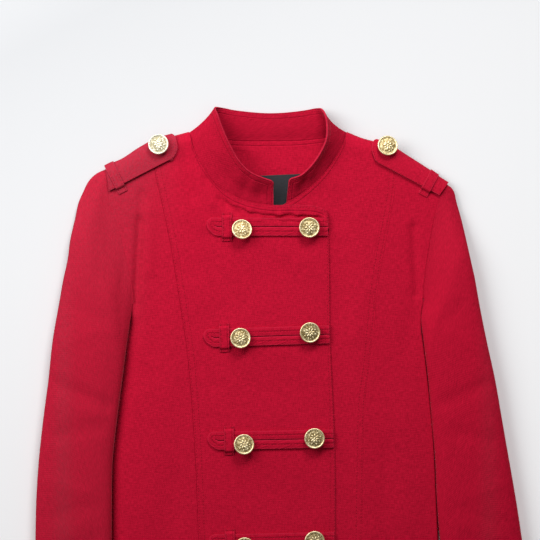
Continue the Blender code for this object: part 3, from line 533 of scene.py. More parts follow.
def finished(name, bm, finishes, node=None):
    """Puts a mesh in the scene, on the body, in place of the CAD node it stands for."""
    made = in_scene(name, mesh_of(name, bm, finishes))
    made.data.shade_smooth()
    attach(made, "root")
    if node:
        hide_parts(node)
    return made


def mesh_of(name, bm, finishes):
    mesh = bpy.data.meshes.new(name)
    bm.to_mesh(mesh)
    bm.free()
    for finish in finishes:
        mesh.materials.append(finish)
    return mesh


def in_scene(name, data):
    """A new object in the scene, for a mesh, a lamp or a camera."""
    made = bpy.data.objects.new(name, data)
    bpy.context.scene.collection.objects.link(made)
    return made


# %% [markdown]
# ## Topstitches
# A row of topstitches is a line of short raised threads, each a little under 3 mm long, sunk at its ends.
# Each stitch is a small drawn-out ball, laid on the cloth's own line, and all the stitches of a piece are one
# mesh. The grid of the piece gives the line at any distance in from one of its sides.

# %% Lines on a piece, and rows of stitches on them
STITCH = 2.7
STITCH_GAP = 0.9
THREAD_RADIUS = 0.30


def line_in(points, side, inward):
    """The line that runs beside one side of a cloth grid, at a distance in from it."""
    if side in ("bottom", "top"):
        points = points.transpose(1, 0, 2)
    if side in ("right", "top"):
        points = points[:, ::-1]
    return np.array([along_row(row, inward) for row in points])


def along_row(row, inward):
    marks = marks_of(row)
    return np.array([np.interp(inward, marks, row[:, k]) for k in range(3)])


def stitches(name, lines, lift=0.12):
    """All the stitches of one piece, as one mesh."""
    bm = bmesh.new()
    count = 0
    for line in lines:
        whole = max(1, int(marks_of(line)[-1] / (STITCH + STITCH_GAP)))
        half_gap_share = STITCH_GAP / (STITCH + STITCH_GAP) / 2
        starts = placed(along(line, (np.arange(whole) + half_gap_share) / whole) + (0, 0, lift))
        ends = placed(along(line, (np.arange(whole) + 1 - half_gap_share) / whole) + (0, 0, lift))
        for start, end in zip(starts, ends):
            run = Vector(end - start)
            shape = Matrix.Diagonal((run.length / 2, THREAD_RADIUS * MM, THREAD_RADIUS * MM, 1))
            turn = run.to_track_quat("X", "Z").to_matrix().to_4x4()
            bmesh.ops.create_icosphere(bm, subdivisions=1, radius=1,
                                       matrix=Matrix.Translation((start + end) / 2) @ turn @ shape)
        count += whole
    print(f"{name}: {count} stitches")
    return finished(name, bm, [THREAD])


# %% A piece with its stitches
ALL_SIDES = ("left", "right", "bottom", "top")


def piece(name, points, wall, flat, rests_on, lines=(), thread=None, lift=0.12, **rest):
    """A cloth and its stitches along the lines. The size of its cut in mm is not used."""
    made = cloth(name, points, wall, **rest)
    sewing = [stitches(thread or f"stitches_{name}", lines, lift)] if lines else []


def raised(lines, amount):
    """Lines moved up, from the underside of a thick piece to its upper face."""
    return [line + (0, 0, amount) for line in lines]


# %% [markdown]
# ## Body panels
# Each front is cut in two at a princess seam, which runs from the shoulder to the hem and shapes the chest.
# A panel is a patch stretched between its four sides. At the right princess seam both neighbours dip into a
# narrow valley, as cloth does where it is turned in. The left one and the armholes are pressed flat: there the
# side front lies a little lower, with its turning under its neighbour's. The centre panels carry two rows of
# topstitches beside the seam.

# %% Rows and columns, close together where the cloth rolls over
def stations(length, near_start, near_end, count):
    """Fractions of a length: these distances from its ends, and count even steps between them."""
    first = max(near_start, default=0) / length
    last = 1 - max(near_end, default=0) / length
    between = np.linspace(first, last, count + 1)
    ends = [d / length for d in near_start] + [1 - d / length for d in near_end]
    return np.unique(np.round(np.concatenate([[0, 1], ends, between]), 6))


EDGE_STEPS = (0, 0.25, 0.6, 1.1, 1.8, 3.0)
ROLL_STEPS = (0, 0.3, 0.8, 1.5, 2.6, 4.0, 5.8, 8.0, 9.5, 10.5, 11.2, 11.9, 12.6, 13.3, 14.2, 15.5, 17)
SIDE_ROWS = stations(360, EDGE_STEPS, (0, 5, 10, 17, 24), 110)
ARMHOLE_ROWS = stations(145, (0, 1, 2, 4, 7), ROLL_STEPS, 40)
UNDERARM_SHARE = 0.7  # share of a panel's height below the underarm
ROWS_UP = np.concatenate([
    UNDERARM_SHARE * SIDE_ROWS[:-1],
    UNDERARM_SHARE + (1 - UNDERARM_SHARE) * ARMHOLE_ROWS,
])
SIDE_FRONT_COLUMNS = stations(95, ROLL_STEPS, EDGE_STEPS, 28)
FRONT_COLUMNS = stations(155, EDGE_STEPS, EDGE_STEPS, 110)
HALF_SEAM = 0.06  # at the right princess seam
HALF_JOIN = -0.15  # seams pressed so flat that no line shows: the turnings overlap
HALF_GROOVE = 0.03  # between the sides and the sleeves, below the underarm
HALF_TOUCH = -0.3  # below the left underarm the sleeve presses on the body, so no groove shows
print("rows:", len(ROWS_UP), "columns:", len(SIDE_FRONT_COLUMNS), len(FRONT_COLUMNS))


def half_gap(y, below=HALF_GROOVE):
    """Half the gap between body and sleeve: a seam in the armhole, a groove below the underarm."""
    return HALF_JOIN + (below - HALF_JOIN) * ease(0, ROLL_FADE, UNDERARM_Y - y)


def outer_rows(side, armhole):
    """Where the rows start on the outer edge, which runs up the side and then up the armhole."""
    return joined(along(smooth(side[::-1]), SIDE_ROWS), along(smooth(armhole[::-1]), ARMHOLE_ROWS))


def hem(x0, x1):
    return smooth(((x0, 0), ((x0 + x1) / 2, 0), (x1, 0)))


def at_height(row_ends, up, w):
    """Points between the ends of the rows, by their share of the height."""
    return np.stack([np.interp(w, up, row_ends[:, k]) for k in (0, 1)], axis=-1)


def patch(bottom, top_line, left, right, across, up, gaps):
    """A grid between two lines and the ends of its rows. Gaps are kept at the left, right and top."""
    corners = bottom[0], bottom[-1], top_line[0], top_line[-1]
    width = np.linalg.norm(left - right, axis=1)[:, None]
    height = np.linalg.norm(along(bottom, across) - along(top_line, across), axis=1)[None, :]
    gap_left, gap_right, gap_top = gaps
    u = gap_left / width + across[None, :] * (1 - (gap_left + gap_right) / width)
    w = up[:, None] * (1 - gap_top / height)
    u, w = u[..., None], w[..., None]
    sides = (1 - u) * at_height(left, up, w[..., 0]) + u * at_height(right, up, w[..., 0])
    ends = (1 - w) * along(bottom, u[..., 0]) + w * along(top_line, u[..., 0])
    bottom_ends = (1 - u) * corners[0] + u * corners[1]
    top_ends = (1 - u) * corners[2] + u * corners[3]
    return sides + ends - (1 - w) * bottom_ends - w * top_ends


# %% A panel's height, with its valleys
VALLEY_REACH = 1.8
PRINCESS_VALLEY = 0.6
UNDER = 0.3  # at a flat seam the side front lies this much lower, under its neighbour
TURNED_REACH, TURNED_DEPTH = 1.0, 0.45


def panel_points(grid, height, seams, turned):
    """A panel laid on the form, dipped at its seams and rounded at its turned edges."""
    x, y = grid[..., 0], grid[..., 1]
    z = height(x, y)
    sides = from_sides(np.dstack([x, y, z]))
    for side, depth in seams:
        z = z - tucked(sides[side], VALLEY_REACH, depth)
    for side in turned:
        z = z - tucked(sides[side], TURNED_REACH, TURNED_DEPTH)
    return np.dstack([x, y, z])


def shoulder_fade_and_sheen(grid):
    """The right shoulder is painted paler and greyer, most along its line: fading and a painted sheen."""
    x, y = grid[..., 0], grid[..., 1]
    near_shoulder = np.exp(-distance(x, y, SHOULDERS[0]) / 60)
    near_sleeve = (1 - ease(-168, -140, x)) * ease(290, 380, y)
    return 0.28 * near_shoulder * (1 - ease(-150, -95, x)) + 0.10 * near_sleeve


princess_right = along(smooth(PRINCESS_RIGHT), ROWS_UP)
princess_left = along(smooth(PRINCESS_LEFT), ROWS_UP)
edge_right, edge_left = outer_rows(SIDE_RIGHT, ARMHOLE_RIGHT), outer_rows(SIDE_LEFT, ARMHOLE_LEFT)
on_armhole = ease(0, 12, edge_right[:, 1:] - UNDERARM_Y)
print("princess seam, mm:", round(marks_of(princess_right)[-1]))

# %% Side fronts, from the armhole to the princess seam
grid = patch(
    hem(-190, princess_right[0, 0]),
    part_of(SHOULDERS[0], SHOULDERS[0][0, 0], princess_right[-1, 0]),
    edge_right, princess_right, SIDE_FRONT_COLUMNS, ROWS_UP, (half_gap(edge_right[:, 1:]), HALF_SEAM, 0),
)
side_right = panel_points(grid, top, [("right", PRINCESS_VALLEY), ("left", UNDER * on_armhole)], ["bottom"])
piece("side_front_right", side_right, CLOTH, (120, 560), ["back"], grain=grid, sewn=("bottom",),
      worn=("bottom",), faded=shoulder_fade_and_sheen(grid))

grid = patch(
    hem(princess_left[0, 0], 187),
    part_of(SHOULDERS[1], princess_left[-1, 0], SHOULDERS[1][-1, 0]),
    princess_left, edge_left, 1 - SIDE_FRONT_COLUMNS[::-1], ROWS_UP,
    (HALF_JOIN, half_gap(edge_left[:, 1:], HALF_TOUCH), 0),
)
side_left = panel_points(grid, top, [("left", UNDER), ("right", UNDER * on_armhole)], ["bottom"])
piece("side_front_left", side_left, CLOTH, (110, 550), ["back"], grain=grid, sewn=("bottom",),
      worn=("bottom",))

# %% Centre fronts: the right one on top, the left one with its underlap below it
NECK_GAP = 0.15
HEM_ROW = 20.0  # the row of stitches that holds a turned hem
LOW = 380  # above this height the shoulder seam is near, which has neither topstitches nor the worn edge with its painted highlight
BAND, BAND_STEP = 12.0, 1.5  # width and extra height of the facing along the neck
BAND_START = -66
NECK_RIGHT_X, NECK_LEFT_X = -99, 79  # where the neck edge meets the shoulder lines
PRINCESS_SIDE = {"right": -110, "left": 100}  # past it the rows of the princess seam run up to the shoulder


def neck_band(points):
    """The turned facing makes the cloth thicker above its lower row of stitches, which puckers."""
    x = points[..., 0]
    below = from_sides(points)["top"]
    wave = 0.9 * np.sin(x / 2.9) + 0.7 * np.sin(x / 4.7 + 1.3) + 0.4 * np.sin(x / 1.7 + 0.4)
    step = (1 - ease(BAND - 1.4 + 0.7 * wave, BAND + 0.5 + 0.7 * wave, below)) * ease(BAND_START, -34, x)
    puckered = BAND_STEP + 0.34 * wave * ease(2, BAND, below)
    return points + np.dstack([0 * x, 0 * x, step * puckered * (1 + 0.5 * ease(-16, 0, x))])


grid = patch(
    hem(princess_right[0, 0], FRONT_EDGE[0][0]),
    joined(part_of(SHOULDERS[0], princess_right[-1, 0], SHOULDERS[0][-1, 0]), smooth(NECK_RIGHT),
           smooth(EXTENSION_TOP)),
    princess_right, along(smooth(FRONT_EDGE), ROWS_UP), FRONT_COLUMNS, ROWS_UP, (HALF_SEAM, 0, NECK_GAP),
)
front_right = neck_band(panel_points(grid, top, [("left", PRINCESS_VALLEY)], ["right", "bottom", "top"]))
columns = np.arange(grid.shape[1])
on_neck = columns >= np.argmax(grid[-1, :, 0] > NECK_RIGHT_X)  # columns that don't end on the shoulder
low_enough = grid[..., 1] < LOW
rows_right = [line_in(front_right, side, row) for side in ("left", "right") for row in STITCH_ROWS]
rows_right += [line_in(front_right[:, on_neck], "top", STITCH_ROWS[0] + 1),
               line_in(front_right[:, grid[-1, :, 0] > BAND_START], "top", BAND),
               line_in(front_right, "bottom", HEM_ROW)]
piece("front_right", front_right, CLOTH, (215, 560), ["front_left", "back"], rows_right, grain=grid,
      sewn=("bottom", "top"), sewn_where=on_neck | low_enough | (grid[..., 0] < PRINCESS_SIDE["right"]),
      worn=("right", "bottom", "top"), worn_where=(grid[..., 0] > -6) | low_enough, faded=shoulder_fade_and_sheen(grid))

grid = patch(
    hem(UNDERLAP_EDGE[0][0], princess_left[0, 0]),
    joined(smooth(UNDERLAP_TOP), smooth(NECK_LEFT[::-1]),
           part_of(SHOULDERS[1], SHOULDERS[1][0, 0], princess_left[-1, 0])),
    along(smooth(UNDERLAP_EDGE), ROWS_UP), princess_left, FRONT_COLUMNS, ROWS_UP, (0, HALF_JOIN, NECK_GAP),
)
front_left = panel_points(grid, lapped, [], ["left", "bottom", "top"])
on_neck = columns < np.argmax(grid[-1, :, 0] > NECK_LEFT_X)
rows_left = [line_in(front_left, "right", row) for row in STITCH_ROWS]
rows_left += [line_in(front_left[:, on_neck], "top", row) for row in STITCH_ROWS]
rows_left += [line_in(front_left, "bottom", HEM_ROW)]
piece("front_left", front_left, CLOTH, (190, 560), ["back"], rows_left, grain=grid,
      sewn=("left", "bottom", "top"), worn=("left", "bottom"),
      sewn_where=on_neck | (grid[..., 1] < LOW) | (grid[..., 0] > PRINCESS_SIDE["left"]))

# %% [markdown]
# ## Back panel
# The back lies flat on the table and is seen only inside the neck, where the turned collar seam and some soft
# wrinkles of the back show, and from below, where it is one plain sheet.

# %% The back, flat on the table
BACK_SPREAD = 1.5  # below the underarm the back reaches this far under the sleeves
BACK_HEIGHT = 1.6  # of its upper face above the table, so its thickness too
BACK_FOLDS = (
    Fold(-44, 534, -18, 529, 3.0, 0.7),  # wrinkles under the neck, in the lower line of the collar
    Fold(-30, 526, -8, 521, 3.5, 0.6),
    Fold(-62, 522, -40, 512, 4.5, 0.7),
    Fold(14, 530, 34, 522, 4.5, 0.5),
    Fold(-14, 512, 16, 509, 5.0, 0.4),
    Fold(36, 516, 50, 500, 5.0, 0.6),
)


def spread(edge):
    return BACK_SPREAD * ease(0, ROLL_FADE, UNDERARM_Y - edge[:, 1:]) * (1, 0)


right_edge, left_edge = edge_right - spread(edge_right), edge_left + spread(edge_left)
back_line = joined(part_of(SHOULDERS[0], SHOULDERS[0][0, 0] + 1, -97), smooth(BACK_NECK),
                   part_of(SHOULDERS[1], 76.5, SHOULDERS[1][-1, 0] - 1))
grid = patch(hem(right_edge[0, 0], left_edge[0, 0]), back_line, right_edge, left_edge,
             stations(380, EDGE_STEPS, EDGE_STEPS, 120), ROWS_UP, (0, 0, 0))
back = np.dstack([grid, BACK_HEIGHT + folds_at(grid[..., 0], grid[..., 1], BACK_FOLDS)])
piece("back", back, BACK_HEIGHT, (410, 560), ["front_right"], grain=grid, sewn=("bottom", "top"))

# %% [markdown]
# ## Sleeves
# A set-in sleeve is a tube that is sewn round the armhole. The tube starts on the armhole's line, takes its
# own round form over 85 mm, and its underside lies flat on the table.

# %% Tables of the sleeves
SLEEVE_RIGHT_OUTER = (
    (-279, -92), (-279, -44), (-279, 14), (-278, 83), (-277, 129), (-274, 175), (-269, 221), (-263, 267),
    (-258, 313), (-250, 359), (-246, 382), (-241, 405), (-238, 428), (-233, 451), (-228, 474), (-224, 483),
    (-221, 490), (-216, 498), (-208, 505), (-199, 509),
)
SLEEVE_RIGHT_INNER = (
    (-196, -92), (-193, -30), (-191, 20), (-190.5, 83), (-190, 129), (-189, 175), (-184, 221), (-178, 267),
    (-172, 313), (-168, 340), (-166, 359), (-160, 405), (-152, 451), (-142, 483), (-128, 509),
)
SLEEVE_LEFT_OUTER = (
    (306, -92), (300, -44), (292, 14), (282, 83), (275, 129), (267, 175), (259, 221), (251, 267), (241, 313),
    (232, 359), (228, 382), (223, 405), (218, 428), (213, 451), (207, 474), (205, 483), (202, 488), (198, 491),
)
SLEEVE_LEFT_INNER = (
    (220, -92), (209, -44), (197, 14), (189, 70), (184, 129), (182, 175), (178, 221), (174, 267), (168.5, 313),
    (166, 336), (168, 359), (160, 405), (150, 451), (142, 474), (134, 491),
)
SLEEVE_HEIGHTS = (Height(-92, 19), Height(0, 22), Height(150, 25), Height(300, 26), Height(400, 24),
                  Height(520, 19))
WIDEST = 0.44  # the sleeve is widest at this share of its height
CAP_HEIGHT = 3.6  # height of the sleeve's outer edge where it starts at the shoulder point
CAP_EASE = 85  # the sleeve takes its own height this far below the armhole
LOWER_DROP = 1.3  # above 1, part of the sleeve's underside is flat on the table
LOWER_ROUND = 0.6
SHOULDER_EASE = 4.0  # the armhole slants at the shoulder point, so its gap is wider across
SLEEVE_FOLDS = (
    Fold(-252, 262, -196, 238, 9, -1.6),
    Fold(-250, 205, -205, 214, 10, -1.2),
    Fold(-262, 60, -214, 82, 12, -1.4),
    Fold(-255, -20, -225, 8, 12, 1.0),
    Fold(238, 262, 190, 240, 9, -1.4),
    Fold(246, 196, 205, 208, 10, -1.1),
    Fold(270, 62, 222, 84, 12, -1.4),
    Fold(282, -18, 240, 6, 12, 1.0),
    Fold(-214, 440, -196, 386, 9, -0.8),  # finer creases from the cap down the inner side
    Fold(-200, 372, -186, 322, 8, 0.8),
    Fold(-232, 352, -200, 336, 8, -0.6),
    Fold(-244, 312, -206, 322, 10, 0.6),
    Fold(-262, 150, -220, 138, 9, 0.7),
    Fold(-258, 110, -212, 122, 10, -0.7),
    Fold(202, 430, 192, 380, 9, -0.7),
    Fold(212, 352, 190, 334, 8, -0.6),
    Fold(232, 306, 200, 318, 9, 0.5),
    Fold(262, 148, 214, 134, 9, 0.6),
    Fold(252, 104, 208, 118, 10, -0.6),
)
SLEEVE_ROWS = 190
ROW_SPREAD = 1.35  # above 1, rows are closer together near the armhole
CUFF_STEPS = (0, 0.3, 0.8, 1.6)
SLEEVE_LENGTH = 500  # roughly, to space the rows at both ends
OUTER_ROUND = 0.62  # power of the rounding at the outer side: a half circle has 1, and less is fuller
# The fade of a sleeve is its share of fading and painted sheen: along a line, all over and over its head.
Sleeve = namedtuple("Sleeve", "side outer inner armhole inner_round groove fade")
Fade = namedtuple("Fade", "line_x on_line all_over on_head")
SLEEVES = (
    Sleeve("right", SLEEVE_RIGHT_OUTER, SLEEVE_RIGHT_INNER, ARMHOLE_RIGHT, 0.62, HALF_GROOVE,
           Fade(-245, 0.13, 0.10, 0.12)),
    Sleeve("left", SLEEVE_LEFT_OUTER, SLEEVE_LEFT_INNER, ARMHOLE_LEFT, 0.50, HALF_TOUCH,
           Fade(243, 0.10, 0.0, 0.04)),
)


# %% The two tubes
def sleeve_points(spec):
    """The tube's grid, and whether its faces have to be turned round."""
    outer, inner = smooth(spec.outer), smooth(spec.inner)
    seam = along(smooth(spec.armhole[::-1]), ARMHOLE_ROWS)  # from the underarm up to the shoulder point
    share = (seam[:, 0] - x_on(outer, seam[:, 1])) / (x_on(inner, seam[:, 1]) - x_on(outer, seam[:, 1]))
    share = np.clip(share, 0, 1)
    ring = np.concatenate([np.arccos(1 - 2 * share[::-1]), 2 * math.pi - np.arccos(1 - 2 * share[1:])])
    start_y = np.concatenate([seam[::-1, 1], seam[1:, 1]])
    share = (1 - np.cos(ring)) / 2
    down = np.linspace(0, 1, SLEEVE_ROWS + 1) ** ROW_SPREAD
    ends = np.array(EDGE_STEPS) / SLEEVE_LENGTH, 1 - np.array(CUFF_STEPS) / SLEEVE_LENGTH
    down = np.unique(np.concatenate([down, *ends]))[:, None]
    y = start_y + (CUFF_Y - start_y) * down
    near = 1 - ease(0, CAP_EASE, start_y - y)
    inward = np.sign(x_on(inner, 0) - x_on(outer, 0))
    x_out, x_in = x_on(outer, y), x_on(inner, y)
    kept_free = half_gap(y, spec.groove) * (share + SHOULDER_EASE * near * (1 - share))
    x = x_out + (x_in - x_out) * share - inward * kept_free

    # Near the armhole the upper half keeps the body's height, and the edge at the shoulder point is thin.
    heights = np.array(SLEEVE_HEIGHTS)
    high = np.interp(y, heights[:, 0], heights[:, 1]) + folds_at(x, y, SLEEVE_FOLDS)
    middle = WIDEST * high
    middle = middle + (CAP_HEIGHT - middle) * near * (1 - ease(0, 0.5, share))
    lean = np.abs(np.sin(ring))
    power = OUTER_ROUND + (spec.inner_round - OUTER_ROUND) * share
    upper = middle + (high - middle) * lean**power
    seam_height = top(x[0], start_y)
    upper = upper + (np.maximum(seam_height, CAP_HEIGHT) - upper) * near
    lower = np.maximum(0, middle * (1 - LOWER_DROP * lean**LOWER_ROUND))
    z = np.where(np.sin(ring) > 1e-6, upper, lower)
    points = np.dstack([x, y, z])
    points[:, -1] = points[:, 0]
    return points, inward > 0


def sleeve_fade_and_sheen(points, fade):
    """The cloth fades, with a painted sheen, and roughens along the line where it was folded, and over the
    sleeve's head.
    """
    head = ease(300, 460, points[..., 1])
    line = np.exp(-(((points[..., 0] - fade.line_x) / 11) ** 2))
    return fade.all_over + fade.on_line * line * (1 - head) + fade.on_head * head


for spec in SLEEVES:
    sleeve, turned = sleeve_points(spec)
    piece(f"sleeve_{spec.side}", sleeve, CLOTH, (330, 620), [f"side_front_{spec.side}"],
          [line_in(sleeve, "top", HEM_ROW)], tube=True, flip=turned, sewn=("top",),
          faded=sleeve_fade_and_sheen(sleeve, spec.fade))

# %% [markdown]
# ## Stand collar
# The collar is a band of two layers with a stiffener, open at the front. At the back it has fallen open on
# the table and shows its inner face, and at the front it stands and leans back. The table gives its lower and
# upper edge for each section, and two rows of topstitches follow the upper edge on both faces.

# %% The collar's band
Stand = namedtuple("Stand", "seam_x seam_y seam_z top_x top_y top_z")
COLLAR = (
    Stand(-4, 469.5, 14.0, -4.4, 495, 25.5),
    Stand(-22, 470.9, 14.2, -17.5, 499.5, 27.0),
    Stand(-41.3, 476.9, 14.4, -31, 506, 28.5),
    Stand(-60.3, 486.3, 14.5, -43, 518, 29.5),
    Stand(-76.4, 503.5, 14.5, -53, 535, 30.0),
    Stand(-90.4, 525.8, 14.0, -62, 555, 28.0),
    Stand(-97.8, 544, 11.0, -68.5, 573, 22.0),
    Stand(-99.8, 551.5, 6.5, -71, 580, 13.5),
    Stand(-93, 552.5, 2.4, -64, 580.5, 5.4),
    Stand(-75, 548.0, 1.3, -52, 578, 3.0),
    Stand(-52, 545.5, 1.2, -37, 576, 2.4),
    Stand(-10, 544.5, 1.2, -8, 574, 2.2),
    Stand(31, 545.5, 1.2, 22, 576, 2.4),
    Stand(54, 548.0, 1.3, 36, 578, 3.0),
    Stand(72, 552.5, 2.4, 44, 579.5, 5.4),
    Stand(78.6, 551.5, 6.5, 50, 579, 13.5),
    Stand(76.8, 544, 11.0, 54.5, 573, 22.0),
    Stand(70.0, 530, 13.7, 57, 558, 27.0),
    Stand(61.2, 517, 14.0, 56, 543, 28.5),
    Stand(50.5, 502, 14.0, 49, 527, 28.5),
    Stand(36.8, 489.5, 13.6, 39, 513, 27.5),
    Stand(24, 480, 13.0, 27, 502, 26.0),
    Stand(11, 471, 12.4, 14.2, 497.6, 24.5),
)
SEAM_LIFT = -0.6
COLLAR_BOW = 1.6  # the stand bulges this much halfway up
COLLAR_WALL = 2.0
COLLAR_CORNER = 3.0
COLLAR_FOOT = -0.06  # share of its height that the band goes on down, into the seam
Pucker = namedtuple("Pucker", "at up reach height depth")  # shares along and up the band, then mm
PUCKERS = (
    Pucker(0.035, 0.30, 7, 9, 1.6), Pucker(0.062, 0.62, 6, 8, -1.4), Pucker(0.085, 0.25, 6, 10, 1.4),
    Pucker(0.115, 0.55, 9, 8, -1.3), Pucker(0.150, 0.35, 11, 9, 1.1), Pucker(0.205, 0.60, 14, 9, -1.1),
    Pucker(0.44, 0.30, 10, 8, -0.4), Pucker(0.56, 0.45, 16, 7, 0.4),
    Pucker(0.80, 0.50, 12, 9, -1.1), Pucker(0.865, 0.30, 10, 9, 1.3), Pucker(0.915, 0.55, 7, 8, -1.4),
    Pucker(0.945, 0.28, 6, 9, 1.6), Pucker(0.972, 0.60, 6, 8, -1.1),
)


def collar_points():
    rows = np.array(COLLAR, float)
    rows[:, 2] += SEAM_LIFT * ease(8, 12, rows[:, 2])
    fractions = stations(640, (0, 0.6, 1.5, 3), (0, 0.6, 1.5, 3), 250)
    seam = along(smooth(rows[:, :3], 1.5), fractions)
    edge = along(smooth(rows[:, 3:], 1.5), fractions)
    up = stations(32, (0, 0.6, 1.5, 3), (0, 0.5, 1.2, 2.2), 14)[:, None, None]
    up = COLLAR_FOOT + (1 - COLLAR_FOOT) * up
    from_end = np.minimum(fractions, 1 - fractions) * marks_of(edge)[-1]
    cut = tucked(from_end, COLLAR_CORNER, COLLAR_CORNER) / np.linalg.norm(edge - seam, axis=-1)
    points = seam + (edge - seam) * up * (1 - cut * np.clip(up[..., 0], 0, 1))[..., None]
    run = np.gradient(points, axis=1)
    out = np.cross(run, np.broadcast_to(edge - seam, run.shape))
    out /= np.linalg.norm(out, axis=-1, keepdims=True)
    bulge = COLLAR_BOW * 4 * np.clip(up, 0, 1) * (1 - up)
    length, tall = marks_of(seam)[-1], np.linalg.norm(edge - seam, axis=-1)[None, :, None]
    for pucker in PUCKERS:
        beside = (fractions[None, :, None] - pucker.at) * length / pucker.reach
        above = (up - pucker.up) * tall / pucker.height
        bulge = bulge + pucker.depth * np.exp(-(beside**2) - above**2)
    return points + out * bulge, out


collar, collar_out = collar_points()
rows_collar = []
for face in (0.5, -0.5):
    skin = collar + collar_out * COLLAR_WALL * face
    rows_collar += [line_in(skin, side, STITCH_ROWS[0] + 1.0) for side in ("left", "right")]
    rows_collar += [line_in(skin, "top", row + 1.0) for row in STITCH_ROWS]
piece("collar", collar, COLLAR_WALL, (640, 36), ["back", "front_right", "front_left"], rows_collar, lift=0,
      offset=0, sewn=("top", "left", "right"), worn=("top", "left", "right"), soft_edge=0.5,
      finish=COLLAR_TWILL_PAINTED_SHADE)

# %% [markdown]
# ## Neck label
# A woven satin label is sewn inside the back of the neck. It is bare. Satin floats its threads over the
# surface, which gives a dark cloth a soft shine in one direction.

# %% The label
def black_satin():
    satin = Finish("woven_black_satin", 0.42)
    floats = satin.drawn_out(satin.add("TexCoord")["UV"], (240, 1500, 1))
    satin.feed("Base Color", satin.mix(floats, linear("#18181a"), linear("#2c2c31")))
    satin.bump(floats, 0.12 * MM)
    satin.feed("Specular IOR Level", 0.3)
    return satin.material


LABEL_SIZE = (54, 42)
LABEL_TURN = math.radians(2.5)
LABEL_Z, LABEL_WALL = 2.7, 0.6
across = (stations(LABEL_SIZE[0], EDGE_STEPS, EDGE_STEPS, 24) - 0.5) * LABEL_SIZE[0]
up = (stations(LABEL_SIZE[1], EDGE_STEPS, EDGE_STEPS, 18) - 0.5) * LABEL_SIZE[1]
gx, gy = np.meshgrid(across, up)
cos, sin = math.cos(LABEL_TURN), math.sin(LABEL_TURN)
label = np.dstack([
    gx * cos - gy * sin + LABEL_CENTRE[0],
    gx * sin + gy * cos + LABEL_CENTRE[1],
    LABEL_Z + 0.25 * np.cos(gx / 9.0) * np.cos(gy / 12.0),
])
piece("neck_label", label, LABEL_WALL, LABEL_SIZE, ["back"], sewn=ALL_SIDES, finish=black_satin(),
      soft_edge=0.2, slot="black_satin")

# %% [markdown]
# ## Front fastenings
# Each fastening is a tape folded in two at a rounded point, its halves side by side with a dark slit between
# them, edge-stitched and held by an upright loop. Both lie on the front and follow its form, so their points
# come from the front's height, moved out by the gap and the layers below.

# %% Tapes
Frog = namedtuple("Frog", "tip_x tip_y end_x end_y keeper_x")
FROGS = (
    Frog(-80.5, 443.0, 58.2, 443.0, -57.5),
    Frog(-84.0, 315.0, 60.2, 319.5, -60.5),
    Frog(-79.5, 197.0, 64.8, 199.8, -55.0),
    Frog(-78.0, 79.0, 65.8, 82.0, -54.0),
)
TAPE_WIDTH = 9.4
TAPE_SLIT = 1.3
TIP_LENGTH = 13
TAPE_WALL = 2.2
TAPE_LIFT = 0.15
TIP_RISE = 3.0  # the point lies towards the upper half, where the tape was folded over
TAPE_CROWN = 0.35  # a pressed tape is a little higher along its middle
KEEPER_WIDTH, KEEPER_LENGTH, KEEPER_WALL = 11, 33, 1.1
KEEPER_RISE_START, KEEPER_RISE_END = 1.2, 3.2
NARROW_STEPS = (0, 0.4, 1.0)


def narrow(width):
    """Fractions across a narrow strip, closer together at its edges."""
    return stations(width, NARROW_STEPS, NARROW_STEPS, 8)


def tape_points(spec):
    tip, end = np.array(spec[:2]), np.array(spec[2:4])
    forward = (end - tip) / np.linalg.norm(end - tip)
    side = np.array([-forward[1], forward[0]])
    half = (TAPE_WIDTH + TAPE_SLIT) / 2
    length = np.linalg.norm(end - tip)
    straight = TIP_LENGTH + (length - TIP_LENGTH) * stations(125, (0, 2), (0, 0.5, 1.2, 2.2), 60)[::-1]
    turn = np.linspace(0, math.pi, 41)[1:-1]
    reach = TIP_LENGTH - TAPE_WIDTH / 2
    middle = [(s, half) for s in straight]
    middle += [(TIP_LENGTH - reach * math.sin(t), half * math.cos(t)) for t in turn]
    middle = np.array(middle + [(s, -half) for s in straight[::-1]])
    bend = np.arcsin(np.clip((TIP_LENGTH - middle[:, 0]) / reach, 0, 1))
    outward = np.stack([-np.sin(bend), np.sign(np.round(middle[:, 1], 6)) * np.cos(bend)], axis=-1)
    offsets = (TAPE_WIDTH / 2 - TAPE_WIDTH * narrow(TAPE_WIDTH))[:, None]
    plan = middle + outward * offsets[..., None]
    toward_tip = 1 - ease(0, TIP_LENGTH, plan[..., :1])
    plan = plan + np.concatenate([0 * toward_tip, TIP_RISE * toward_tip], axis=-1)
    spots = tip + plan[..., :1] * forward + plan[..., 1:] * side
    crown = TAPE_CROWN * (1 - (offsets / (TAPE_WIDTH / 2)) ** 2) + 0 * middle[:, 0]
    return moved_out(spots[..., 0], spots[..., 1], TAPE_LIFT + crown), tip, forward, side


def keeper_points(spec, tip, forward, side):
    """The loop over a tape: down on the panel at both ends, raised over the tape between them."""
    over = TAPE_LIFT + TAPE_WALL + TAPE_CROWN + 0.1
    half = TAPE_WIDTH + TAPE_SLIT / 2
    across = (stations(KEEPER_LENGTH, (0, 0.5, 1.2), (0, 0.5, 1.2), 44) - 0.5) * KEEPER_LENGTH
    raised = 1 - ease(half + KEEPER_RISE_START, half + KEEPER_RISE_END, np.abs(across))
    lift = TAPE_LIFT + (over - TAPE_LIFT) * raised + 0.25 * np.cos(across / half)
    offsets = (narrow(KEEPER_WIDTH) - 0.5) * KEEPER_WIDTH
    at = (spec.keeper_x - tip[0]) / forward[0] + offsets[:, None, None]
    spots = tip + forward * at + side * across[None, :, None]
    crown = 0.2 * (1 - (offsets / (KEEPER_WIDTH / 2)) ** 2)[:, None]
    return moved_out(spots[..., 0], spots[..., 1], lift[None, :] + crown)


